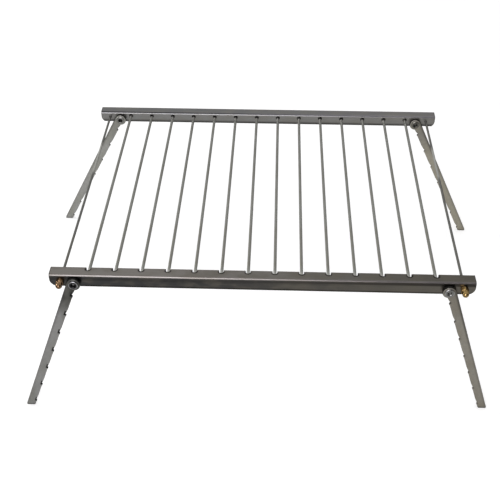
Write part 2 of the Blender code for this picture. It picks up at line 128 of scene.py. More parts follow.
@dataclass(frozen=True)
class Layout:
    """Sizes that several sub-assemblies share."""

    rail_length: float = 0.320
    grill_depth: float = 0.255
    rail_width: float = 0.0105
    rail_height: float = 0.0112
    inner_shorter: float = 0.0009
    sheet: float = 0.0012
    tie_inset: float = 0.0085
    tie_drop: float = 0.0054
    tie_diameter: float = 0.0021
    rod_count: int = 14
    rod_diameter: float = 0.0024
    rod_play: float = 0.0006
    bend_radius: float = 0.0020
    hole_below_bend: float = 0.0001
    pivot_drop: float = 0.0069
    front_right_slip: float = 0.0011
    rivet_shank: float = 0.0044
    washer_thickness: float = 0.0008
    leg_thickness: float = 0.0024
    slot_reach: float = 0.0046
    seat_gap: float = 0.0003
    running_gap: float = 0.00015

    @property
    def half_depth(self) -> float:
        """Half the depth over the outer flanges."""
        return self.grill_depth / 2

    @property
    def top_z(self) -> float:
        """Height of the rails' tops."""
        return self.tie_drop

    @property
    def outer_bottom(self) -> float:
        """Height of the outer flanges' lower edges."""
        return self.top_z - self.rail_height

    @property
    def inner_bottom(self) -> float:
        """Height of the inner flanges' lower edges."""
        return self.outer_bottom + self.inner_shorter

    @property
    def tie_x(self) -> float:
        """Distance of a tie rod from the middle."""
        return self.rail_length / 2 - self.tie_inset

    @property
    def rod_pitch(self) -> float:
        """Spacing of the rods."""
        return 2 * self.tie_x / (self.rod_count + 1)

    @property
    def pivot_x(self) -> float:
        """Distance of a leg's pivot from the middle."""
        return self.tie_x - self.rod_pitch / 2

    @property
    def pivot_z(self) -> float:
        """Height of the pivots."""
        return self.top_z - self.pivot_drop

    @property
    def pivot_hole(self) -> float:
        """Radius of a rivet's hole."""
        return self.rivet_shank / 2 + self.running_gap

    @property
    def tie_hole(self) -> float:
        """Radius of a tie rod's hole."""
        return self.tie_diameter / 2 + self.seat_gap

    @property
    def hole_radius(self) -> float:
        """Radius of a rod's hole or slot."""
        return self.rod_diameter / 2 + self.rod_play

    @property
    def hole_z(self) -> float:
        """Height of the middle of a rod's hole."""
        return self.top_z - self.bend_radius - self.hole_below_bend - self.hole_radius

    @property
    def rod_z(self) -> float:
        """Height of a rod's axis, where it lies in its hole."""
        return self.hole_z - self.hole_radius + self.seat_gap + self.rod_diameter / 2

    @property
    def leg_near(self) -> float:
        """Gap between a flange and the leg outside it."""
        return 2 * self.seat_gap + self.washer_thickness

    @property
    def rivet_near(self) -> float:
        """Distance from a flange to the rivet's flange."""
        return self.leg_near + self.leg_thickness + self.seat_gap

    def pivot(self, row: Row, side: Side) -> Point:
        """X and Z of a leg's pivot on the level frame."""
        slipped = (row, side) == (Row.FRONT, Side.RIGHT)
        return side.sign * (self.pivot_x - self.front_right_slip * slipped), self.pivot_z

    def outer(self, row: Row) -> float:
        """Y of a rail's outer face."""
        return row.outward * self.half_depth

    def inner(self, row: Row) -> float:
        """Y of a rail's inner face."""
        return row.outward * (self.half_depth - self.rail_width)

    def leg_flange(self, row: Row) -> float:
        """Y of the face that carries a row's legs, which is the front face of each rail."""
        return self.outer(row) if row is Row.FRONT else self.inner(row)

    def rod_places(self) -> list[float]:
        """X of every rod, left to right."""
        return [-self.tie_x + self.rod_pitch * (i + 1) for i in range(self.rod_count)]


class Stance:
    """Where the frame, the legs and the rods stand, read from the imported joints."""

    def __init__(self, joints: Sequence[dict[str, Any]], layout: Layout) -> None:
        """Works out every placement.

        Args:
            joints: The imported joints, each with its child body, position, axis and range.
            layout: The shared sizes.
        """
        self.joints = {joint["child"]: joint for joint in joints}
        left, right, back = (self.point(name) for name in
                             ("leg_front_left", "leg_front_right", "leg_back_left"))
        along = (right - left).normalized()
        across = (back - left - (back - left).dot(along) * along).normalized()
        self.turn = Matrix((along, across, along.cross(across))).transposed()
        middle = layout.leg_near + layout.leg_thickness / 2
        pivot = Vector((-layout.pivot_x, layout.leg_flange(Row.FRONT) - middle, layout.pivot_z))
        self.frame = Matrix.Translation(left - self.turn @ pivot) @ self.turn.to_4x4()

    def point(self, body: str) -> Vector:
        """The place of a body's joint."""
        return Vector(self.joints[body]["pos_m"])

    def splay(self, body: str) -> float:
        """How far a leg stands out from the vertical: it folds by that and a quarter turn more."""
        return radians(self.joints[body]["range_deg"][1]) - pi / 2

    def leg(self, row: Row, side: Side) -> Matrix:
        """A leg's place, its origin on its pivot and its length along -Z.

        Args:
            row: The leg's rail.
            side: The leg's end of the rail.

        Returns:
            The matrix from the leg's own space to the scene.
        """
        body = f"leg_{row.value}_{side.value}"
        axis = self.turn.transposed() @ Vector(self.joints[body]["axis"]) * side.sign
        lean = Matrix.Rotation(atan2(axis.z, axis.y), 4, "X")
        swing = Matrix.Rotation(-side.sign * self.splay(body), 4, "Y")
        return Matrix.Translation(self.point(body)) @ self.turn.to_4x4() @ lean @ swing

    def rod(self, body: str) -> Matrix:
        """A loose rod's place, its origin where it tips, on its underside."""
        return Matrix.Translation(self.point(body)) @ self.turn.to_4x4()


def arc(centre: Point, radius: float, start: float, end: float, steps: int) -> list[Point]:
    """Points on an arc, both ends included.

    Args:
        centre: The arc's middle.
        radius: Its radius.
        start: Angle of the first point.
        end: Angle of the last point.
        steps: How many chords it has.

    Returns:
        The points in order.
    """
    angles = (start + (end - start) * i / steps for i in range(steps + 1))
    return [(centre[0] + radius * cos(a), centre[1] + radius * sin(a)) for a in angles]


def rounded(corners: Sequence[Triple], steps: int = 8) -> list[Point]:
    """An outline whose corners are rounded by arcs.

    Args:
        corners: Each corner's place and radius, 0 for a sharp one.
        steps: How many chords each arc has.

    Returns:
        The outline's points.
    """
    outline: list[Point] = []
    for i, (x, y, radius) in enumerate(corners):
        here = Vector((x, y))
        if not radius:
            outline.append((x, y))
            continue
        before = (Vector(corners[i - 1][:2]) - here).normalized()
        after = (Vector(corners[(i + 1) % len(corners)][:2]) - here).normalized()
        half = before.angle(after) / 2
        centre = here + (before + after).normalized() * radius / sin(half)
        first = here + before * radius / tan(half) - centre
        last = here + after * radius / tan(half) - centre
        start = atan2(first.y, first.x)
        turn = (atan2(last.y, last.x) - start + pi) % (2 * pi) - pi
        outline += arc((centre.x, centre.y), radius, start, start + turn, steps)
    return outline


def inset(outline: Sequence[Point], distance: float) -> list[Point]:
    """Moves a closed outline into its own area.

    Args:
        outline: Points in either order round the area.
        distance: How far each side moves.

    Returns:
        As many points as the outline has.
    """
    count = len(outline)
    area = sum(outline[i - 1][0] * outline[i][1] - outline[i][0] * outline[i - 1][1]
               for i in range(count))
    hand = 1 if area > 0 else -1
    moved = []
    for i, (x, y) in enumerate(outline):
        before = (Vector((x, y)) - Vector(outline[i - 1])).normalized()
        after = (Vector(outline[(i + 1) % count]) - Vector((x, y))).normalized()
        normals = [Vector((-d.y, d.x)) * hand for d in (before, after)]
        middle = (normals[0] + normals[1]).normalized()
        reach = distance / max(LEAST_MITRE, middle.dot(normals[0]))
        moved.append((x + middle.x * reach, y + middle.y * reach))
    return moved


class Solid:
    """A mesh under construction."""

    def __init__(self) -> None:
        """Starts with nothing."""
        self.builder = bmesh.new()

    def ring(self, points: Iterable[Vector]) -> list[bmesh.types.BMVert]:
        """Adds a loop of vertices."""
        return [self.builder.verts.new(point) for point in points]

    def skin(self, low: list[bmesh.types.BMVert], high: list[bmesh.types.BMVert]) -> None:
        """Joins two loops, either of which may be a single point.

        Args:
            low: The first loop.
            high: The second, with as many points unless one loop is a pole.
        """
        steps = max(len(low), len(high))
        for i in range(steps):
            j = (i + 1) % steps
            if len(low) == 1:
                self.builder.faces.new((low[0], high[j], high[i]))
            elif len(high) == 1:
                self.builder.faces.new((low[i], low[j], high[0]))
            else:
                self.builder.faces.new((low[i], low[j], high[j], high[i]))

    def cap(self, loops: Iterable[list[bmesh.types.BMVert]]) -> None:
        """Fills a flat end.

        Args:
            loops: The loops that bound it: the outer one, then any holes.
        """
        edges = []
        for loop in loops:
            for a, b in zip(loop, loop[1:] + loop[:1]):
                edges.append(self.builder.edges.get((a, b)) or self.builder.edges.new((a, b)))
        bmesh.ops.triangle_fill(self.builder, use_beauty=True, use_dissolve=False, edges=edges)

    def prism(self, outline: Sequence[Point], near: float, far: float, axis: Axis) -> Solid:
        """Adds an outline drawn out along an axis.

        Args:
            outline: The closed outline.
            near: Depth of one end.
            far: Depth of the other.
            axis: The axis that it is drawn out along.

        Returns:
            This solid.
        """
        ends = [self.ring(axis.place(p, depth) for p in outline) for depth in (near, far)]
        self.skin(*ends)
        for end in ends:
            self.cap([end])
        return self

    def turned(self, profile: Sequence[Point], steps: int, place: Matrix = Matrix(),
               closed: bool = False, flat: float | None = None) -> Solid:
        """Adds a body turned round Z, which may have six flats.

        Args:
            profile: Points as (radius, height), a pole where the radius is 0.
            steps: How many sides it has.
            place: Where the body stands.
            closed: Whether the profile comes back to its first point.
            flat: How far the flats stand from the middle, if there are any.

        Returns:
            This solid.
        """
        rings = []
        for radius, height in profile:
            if radius == 0:
                rings.append(self.ring([place @ Vector((0, 0, height))]))
                continue
            spots = []
            for i in range(steps):
                angle = 2 * pi * i / steps
                off = (angle + pi / 6) % (pi / 3) - pi / 6
                reach = min(radius, flat / cos(off)) if flat else radius
                spots.append(place @ Vector((reach * cos(angle), reach * sin(angle), height)))
            rings.append(self.ring(spots))
        for low, high in zip(rings, rings[1:] + (rings[:1] if closed else [])):
            self.skin(low, high)
        return self

    def mesh(self, name: str) -> bpy.types.Mesh:
        """Ends the work.

        Args:
            name: Name of the mesh.

        Returns:
            A smooth shaded mesh whose faces point outward.
        """
        bmesh.ops.recalc_face_normals(self.builder, faces=self.builder.faces)
        made = bpy.data.meshes.new(name)
        self.builder.to_mesh(made)
        self.builder.free()
        made.shade_smooth()
        made.set_sharp_from_angle(angle=SMOOTH_ANGLE)
        return made


def along_y(x: float, z: float) -> Matrix:
    """Lays a body that was turned round Z along +Y at (x, z)."""
    return Matrix.Translation((x, 0, z)) @ Matrix.Rotation(-pi / 2, 4, "X")


def add_object(name: str, data: bpy.types.ID) -> bpy.types.Object:
    """Adds an object to the scene.

    Args:
        name: The object's name.
        data: Its mesh, light or camera.

    Returns:
        The new object.
    """
    made = bpy.data.objects.new(name, data)
    bpy.context.scene.collection.objects.link(made)
    return made


def carve(name: str, blank: bpy.types.Mesh, keep: bpy.types.Mesh, cuts: Sequence[bpy.types.Mesh],
          edge: float) -> bpy.types.Mesh:
    """Cuts a blank to an outline and holes, then breaks its edges.

    Args:
        name: Name of the finished mesh.
        blank: The mesh to cut.
        keep: What lies outside this is cut away.
        cuts: What lies inside these is cut away.
        edge: How wide the broken edges are.

    Returns:
        The finished mesh.
    """
    thing = add_object(name, blank)
    tools = [add_object(mesh.name, mesh) for mesh in (keep, *cuts)]
    for i, tool in enumerate(tools):
        step = thing.modifiers.new(tool.name, "BOOLEAN")
        step.operation = "DIFFERENCE" if i else "INTERSECT"
        step.solver = "EXACT"
        step.object = tool
    bevel = thing.modifiers.new("broken_edges", "BEVEL")
    bevel.width = edge
    bevel.segments = 2
    bevel.limit_method = "ANGLE"
    bevel.angle_limit = SMOOTH_ANGLE
    bevel.harden_normals = False
    normals = thing.modifiers.new("flat_faces", "WEIGHTED_NORMAL")
    normals.keep_sharp = True
    bpy.context.view_layer.update()
    seen = thing.evaluated_get(bpy.context.evaluated_depsgraph_get())
    finished = bpy.data.meshes.new_from_object(seen)
    finished.name = name
    for made in (thing, *tools):
        mesh = made.data
        bpy.data.objects.remove(made)
        bpy.data.meshes.remove(mesh)
    return finished


class Value:
    """One number of a shader, which takes part in ordinary sums."""

    def __init__(self, shade: Shade, socket: bpy.types.NodeSocket) -> None:
        """Wraps a socket of a shader's tree."""
        self.shade = shade
        self.socket = socket

    def __add__(self, other: Value | float) -> Value:
        """The sum."""
        return self.shade.sum_of("ADD", self, other)

    __radd__ = __add__

    def __sub__(self, other: Value | float) -> Value:
        """The difference."""
        return self.shade.sum_of("SUBTRACT", self, other)

    def __rsub__(self, other: float) -> Value:
        """The difference from a plain number."""
        return self.shade.sum_of("SUBTRACT", other, self)

    def __mul__(self, other: Value | float) -> Value:
        """The product."""
        return self.shade.sum_of("MULTIPLY", self, other)

    __rmul__ = __mul__

    def __truediv__(self, other: float) -> Value:
        """The quotient by a plain number."""
        return self.shade.sum_of("DIVIDE", self, other)

    def __abs__(self) -> Value:
        """The size without its sign."""
        return self.shade.sum_of("ABSOLUTE", self)

    def fraction(self) -> Value:
        """What is left over a whole number."""
        return self.shade.sum_of("FRACT", self)

    def at_least(self, bound: float) -> Value:
        """The larger of this and a plain number."""
        return self.shade.sum_of("MAXIMUM", self, bound)

    def root(self) -> Value:
        """The square root."""
        return self.shade.sum_of("SQRT", self)

    def squared(self) -> Value:
        """This times itself."""
        return self * self

    def about(self, share: float, middle: float = 0.5) -> Value:
        """How far this lies above its middle, times a share."""
        return (self - middle) * share

    def between(self, low: float, high: float) -> Value:
        """A smooth step from 0 at low to 1 at high; low may be the larger."""
        return self.shade.step(self, low, high)

    def within(self, band: Band) -> Value:
        """A smooth step up over a band's first pair, and down again over its second."""
        return self.between(*band[0]) * self.between(*band[1])

    def either(self, other: Value) -> Value:
        """The mask of what lies in this mask or in another."""
        return 1 - (1 - self) * (1 - other)


class Shade:
    """A node tree that is written as expressions."""

    def __init__(self, tree: bpy.types.NodeTree) -> None:
        """Takes a tree and empties it."""
        self.tree = tree
        tree.nodes.clear()

    def node(self, kind: str, settings: dict[str, Any] | None = None,
             values: dict[int | str, Any] | None = None) -> bpy.types.Node:
        """Adds a node.

        Args:
            kind: The node's type.
            settings: Its properties, set before its sockets.
            values: What each input socket gets: a number, a colour, a socket or a Value.

        Returns:
            The new node.
        """
        made = self.tree.nodes.new(kind)
        for name, value in (settings or {}).items():
            setattr(made, name, value)
        for name, value in (values or {}).items():
            self.feed(made.inputs[name], value)
        return made

    def feed(self, socket: bpy.types.NodeSocket, value: Any) -> None:
        """Links or sets one input socket.

        Args:
            socket: The input socket.
            value: A number, a colour, a socket or a Value.
        """
        if isinstance(value, Value):
            value = value.socket
        if isinstance(value, bpy.types.NodeSocket):
            self.tree.links.new(value, socket)
        elif isinstance(value, tuple) and socket.type == "RGBA":
            socket.default_value = (*value, 1.0)
        else:
            socket.default_value = value

    def sum_of(self, operation: str, *terms: Value | float) -> Value:
        """A Math node on values and numbers."""
        made = self.node("ShaderNodeMath", {"operation": operation}, dict(enumerate(terms)))
        return Value(self, made.outputs[0])

    def step(self, value: Value, low: float, high: float) -> Value:
        """A smooth step between two bounds.

        Args:
            value: What is looked at.
            low: Where the step is 0.
            high: Where the step is 1.

        Returns:
            The step, from 0 to 1.
        """
        made = self.node("ShaderNodeMapRange", {"interpolation_type": "SMOOTHSTEP", "clamp": True},
                         {"Value": value, "From Min": min(low, high), "From Max": max(low, high)})
        rising = Value(self, made.outputs["Result"])
        return rising if low < high else 1 - rising

    def place(self) -> bpy.types.NodeSocket:
        """Where a point lies in its piece's own space, in metres."""
        return self.node("ShaderNodeAttribute", {"attribute_name": OWN_SPACE}).outputs["Vector"]

    def parts(self, vector: bpy.types.NodeSocket) -> tuple[Value, Value, Value]:
        """The three numbers of a vector."""
        made = self.node("ShaderNodeSeparateXYZ", values={0: vector})
        return tuple(Value(self, socket) for socket in made.outputs)

    def stretch(self, at: bpy.types.NodeSocket, scale: Triple) -> bpy.types.NodeSocket:
        """A place with each direction scaled by itself."""
        return self.node("ShaderNodeVectorMath", {"operation": "MULTIPLY"}, {0: at, 1: scale}).outputs[0]

    def noise(self, at: bpy.types.NodeSocket, scale: float | Triple, detail: float = 2.0,
              seed: float = 0.0) -> Value:
        """Cloudy noise from 0 to 1.

        Args:
            at: The place it is read at.
            scale: Clouds per metre, or one number for each direction.
            detail: How many finer layers it has.
            seed: Another number gives other clouds.

        Returns:
            The noise's value.
        """
        size = scale if isinstance(scale, tuple) else (scale, scale, scale)
        made = self.node("ShaderNodeTexNoise", {"noise_dimensions": "4D"},
                         {"Vector": self.stretch(at, size), "W": seed, "Scale": 1.0, "Detail": detail})
        return Value(self, made.outputs[0])

    def mix(self, factor: Value | float, first: Any, second: Any,
            blend: str = "MIX") -> bpy.types.NodeSocket:
        """Mixes two colours.

        Args:
            factor: The second colour's share.
            first: A colour or a socket.
            second: A colour, a socket or a Value.
            blend: The Mix node's blend type.

        Returns:
            The mixed colour.
        """
        made = self.node("ShaderNodeMix", {"data_type": "RGBA", "blend_type": blend},
                         {0: factor, 6: first, 7: second})
        return made.outputs[2]

    def toned(self, colour: Any, tone: Value) -> bpy.types.NodeSocket:
        """A colour made lighter or darker by a tone."""
        return self.mix(1.0, colour, tone, "MULTIPLY")

    def bump(self, height: Value, distance: float, strength: float) -> bpy.types.NodeSocket:
        """Makes a normal that follows a height.

        Args:
            height: The height's pattern.
            distance: How high the pattern stands, in metres.
            strength: How much of it is kept.

        Returns:
            The normal.
        """
        made = self.node("ShaderNodeBump", values={"Strength": strength, "Distance": distance,
                                                   "Height": height})
        return made.outputs["Normal"]

    def surface(self, **values: Any) -> None:
        """Ends the tree in a metal shader.

        Args:
            values: What its sockets get, by name, with _ for a space.
        """
        sockets = {"Metallic": 1.0} | {name.replace("_", " "): value for name, value in values.items()}
        shader = self.node("ShaderNodeBsdfPrincipled", values=sockets)
        self.node("ShaderNodeOutputMaterial", values={"Surface": shader.outputs[0]})


def new_shade(name: str) -> tuple[bpy.types.Material, Shade]:
    """Starts a material.

    Args:
        name: The material's name.

    Returns:
        The material and its tree.
    """
    made = bpy.data.materials.new(name)
    made.use_nodes = True
    return made, Shade(made.node_tree)


@dataclass(frozen=True)
class RolledSheet:
    """Bent stainless sheet: rolling grain, warm blotches, and a painted highlight on its bend with painted
    shade under it.

    Its insides are painted in shade, its cut edges are dark, and its painted light and shade change from
    the left to the far, right end.
    """

    name: str
    # top to far_side: the top's and the flange's colours, painted lit and shaded, at the left and at the
    # far end.
    top: Colour
    far_top: Colour
    side: Colour
    far_side: Colour
    warm: Colour
    # Colour of the painted shade, and of the dark cut edges.
    dark: Colour
    # bend to bend_share: the painted highlight on the bend, at the left and at the far end.
    bend: Colour
    far_bend: Colour
    bend_share: Point
    # Shares of the painted shade band under the bend, at the left and at the far end.
    painted_shade: Point
    lip: float
    roughness: float = 0.33
    grain: Triple = (22.0, 1500.0, 1500.0)
    grain_depth: float = 0.00004
    grain_strength: float = 0.5
    tone: Triple = (0.80, 0.26, 0.14)
    swing: Point = (0.16, 0.14)
    clouds: Triple = (70.0, 130.0, 130.0)
    cloud_bounds: Point = (0.42, 0.68)
    cloud_share: float = 0.55
    cloud_wander: float = 0.1
    specks: float = 700.0
    edge_tint: Colour = (0.25, 0.25, 0.25)
    drift_start: float = 0.6
    roof_bounds: Point = (1.1, 0.2)
    # Where the painted highlight lies along the bend.
    bend_light_and_end_colour: Band = ((-0.0016, -0.0009), (0.0012, 0.0005))
    # Where the painted shade band under the bend lies, low on the left and high on the right.
    low_painted_shade: Band = ((0.0020, 0.0032), (0.0062, 0.0044))
    high_painted_shade: Band = ((0.0006, 0.0013), (0.0044, 0.0030))
    lip_fade: float = 0.0004
    lip_share: float = 0.85
    end_bounds: Point = (0.0008, 0.0002)
    end_share: float = 0.7
    # crescent to wall_ring: the painted shade round the rods' slots and holes.
    crescent: float = 0.0017
    crescent_bounds: Point = (-0.0006, 0.0004)
    hole_ring: float = 0.0004
    hole_share: float = 0.4
    wall: float = 0.00003
    wall_ring: float = 0.00012
    row_bounds: Point = (0.004, 0.006)
    skin_bounds: Point = (0.5, 0.9)
    face_bounds: Point = (0.0008, 0.0004)
    seed: float = 0.0

    def inside(self, layout: Layout, y: Value, z: Value) -> Value:
        """Finds the channel's inner faces, which are painted in shade.

        Args:
            layout: The shared sizes.
            y: Place across the rails.
            z: Place up them.

        Returns:
            1 on the inner faces and 0 outside.
        """
        across = abs(abs(y) - (layout.half_depth - layout.rail_width / 2))
        first, last = (layout.sheet * share for share in self.skin_bounds)
        reach = layout.rail_width / 2
        return (across.between(reach - first, reach - last)
                * z.between(layout.top_z - first, layout.top_z - last))

    def from_cut(self, layout: Layout, row: Row, at: tuple[Value, Value, Value], width: float) -> Value:
        """How far a point lies within a width of the wall of a rod's slot or hole.

        Args:
            layout: The shared sizes.
            row: Which rail it is, as one has slots and the other holes.
            at: Place along the rail, across it and up it.
            width: Width of the ring round the cut.

        Returns:
            1 on the wall, falling to 0 over the width.
        """
        x, y, z = at
        side = ((x / layout.rod_pitch + WHOLE_PITCHES).fraction() - 0.5) * layout.rod_pitch
        radius = layout.hole_radius
        near, far = (radius + self.wall) ** 2, (radius + width) ** 2
        rows = abs(x).between(*(layout.tie_x - bound for bound in self.row_bounds))
        if row is Row.BACK:
            ring = (side.squared() + (z - layout.hole_z).squared()).between(far, near)
            inner = layout.half_depth - layout.rail_width + layout.sheet
            return ring * rows * y.between(*(inner + bound for bound in self.face_bounds))
        down = (layout.hole_z - z).at_least(0.0)
        end = layout.inner(row) - layout.slot_reach + radius
        out = (end - y).at_least(0.0)
        return ((side.squared() + down.squared()).between(far, near)
                * (side.squared() + out.squared()).between(far, near) * rows)

    def make(self, layout: Layout, row: Row) -> bpy.types.Material:
        """Makes the material for one rail.

        Args:
            layout: The shared sizes.
            row: Which rail it is for.

        Returns:
            The material.
        """
        made, shade = new_shade(self.name)
        place = shade.place()
        at = x, y, z = shade.parts(place)
        lines = shade.noise(place, self.grain, detail=3.0, seed=self.seed)
        clouds = shade.noise(place, self.clouds, detail=3.0, seed=self.seed + 5)
        specks = shade.noise(place, self.specks, seed=self.seed + 9)
        half = layout.rail_length / 2
        # Painted light and shade: the top and the flange are lit and shaded copies of one steel, changing
        # from left to right.
        drift = (x + clouds.about(self.cloud_wander)).between(-half * self.drift_start, half)
        roof = z.between(*(layout.top_z - layout.bend_radius * share for share in self.roof_bounds))
        colour = shade.mix(roof, shade.mix(drift, self.side, self.far_side),
                           shade.mix(drift, self.top, self.far_top))
        colour = shade.mix(clouds.between(*self.cloud_bounds) * self.cloud_share, colour, self.warm)
        below = layout.top_z - z
        along = below - (y - layout.leg_flange(row))
        # Painted highlight along the bend; on the back rail's left end its darker colour is painted shade
        # that dims the lamp's highlight.
        (left, right), (shade_left, shade_right) = self.bend_share, self.painted_shade
        colour = shade.mix(along.within(self.bend_light_and_end_colour) * (left + (right - left) * drift), colour,
                           shade.mix(drift, self.bend, self.far_bend))
        # Painted shade: a dark band under the bend.
        low = below.within(self.low_painted_shade) * shade_left * (1 - drift)
        high = along.within(self.high_painted_shade) * shade_right * drift
        colour = shade.mix(low + high, colour, self.dark)
        bottom = layout.outer_bottom if row is Row.FRONT else layout.inner_bottom
        ends = abs(x).between(*(half - bound for bound in self.end_bounds)) * self.end_share
        lip = z.between(bottom + self.lip, bottom + self.lip_fade) * self.lip_share
        colour = shade.mix(lip.either(ends), colour, self.dark)
        # Painted shade round the rods' cuts: a crescent at each front slot's end, a ring round each back
        # hole, and the cuts' walls.
        if row is Row.FRONT:
            beyond = layout.inner(row) - layout.slot_reach + layout.hole_radius - y
            ring = self.from_cut(layout, row, at, self.crescent) * beyond.between(*self.crescent_bounds)
        else:
            ring = self.from_cut(layout, row, at, self.hole_ring) * self.hole_share
        colour = shade.mix(ring, colour, self.dark)
        colour = shade.mix(self.from_cut(layout, row, at, self.wall_ring), colour, self.dark)
        # Painted shade on the channel's inner faces.
        colour = shade.mix(self.inside(layout, y, z), colour, self.dark)
        plain, lined, specked = self.tone
        line_swing, cloud_swing = self.swing
        shade.surface(Base_Color=shade.toned(colour, plain + lined * lines + specked * specks),
                      Specular_Tint=self.edge_tint,
                      Roughness=self.roughness + lines.about(line_swing) + clouds.about(cloud_swing),
                      Normal=shade.bump(lines, self.grain_depth, self.grain_strength))
        return made


@dataclass(frozen=True)
class DrawnWire:
    """Drawn steel wire: fine lines along it, faint stains, lighter ends, a stretch that may hold a painted
    highlight.
    """

    name: str
    colour: Colour
    stain: Colour
    # Colour of the lighter ends.
    bend_light_and_end_colour: Colour
    ends: Point
    grain: Triple = (3200.0, 18.0, 3200.0)
    grain_depth: float = 0.00003
    grain_strength: float = 0.5
    tone: Point = (0.84, 0.32)
    swing: float = 0.2
    stains: Triple = (240.0, 60.0, 240.0)
    stain_bounds: Point = (0.40, 0.70)
    stain_share: float = 0.7
    lighter_lengths: Point = (0.009, 0.016)
    lighter_fades: Point = (0.4, 0.6)
    lighter_share: float = 0.8
    # Colour of the painted highlight stretch.
    sheen: Colour = (0.860, 0.860, 0.800)
    sheen_span: Point = (0.014, 0.072)
    sheen_share: float = 0.0
    sheen_fade: float = 0.010
    roughness: float = 0.30
    seed: float = 0.0

    def make(self) -> bpy.types.Material:
        """Makes the material for a wire along the piece's own Y.

        Returns:
            The material.
        """
        made, shade = new_shade(self.name)
        at = shade.place()
        _, y, _ = shade.parts(at)
        lines = shade.noise(at, self.grain, detail=3.0, seed=self.seed)
        stains = shade.noise(at, self.stains, detail=3.0, seed=self.seed + 3)
        # The ends are painted lighter.
        (near, far), (front, back) = self.ends, self.lighter_lengths
        front_fade, back_fade = self.lighter_fades
        lighter_ends = (y.between(near + front, near + front * front_fade)
               + y.between(far - back, far - back * back_fade))
        colour = shade.mix(stains.between(*self.stain_bounds) * self.stain_share, self.colour, self.stain)
        colour = shade.mix(lighter_ends * self.lighter_share, colour, self.bend_light_and_end_colour)
        # Painted highlight: a lighter stretch along the rod.
        start, end = self.sheen_span
        fade = self.sheen_fade
        sheened = y.within(((start, start + fade), (end, end - fade)))
        colour = shade.mix(sheened * self.sheen_share, colour, self.sheen)
        plain, lined = self.tone
        shade.surface(Base_Color=shade.toned(colour, plain + lined * lines),
                      Roughness=self.roughness + stains.about(self.swing),
                      Normal=shade.bump(lines, self.grain_depth, self.grain_strength))
        return made


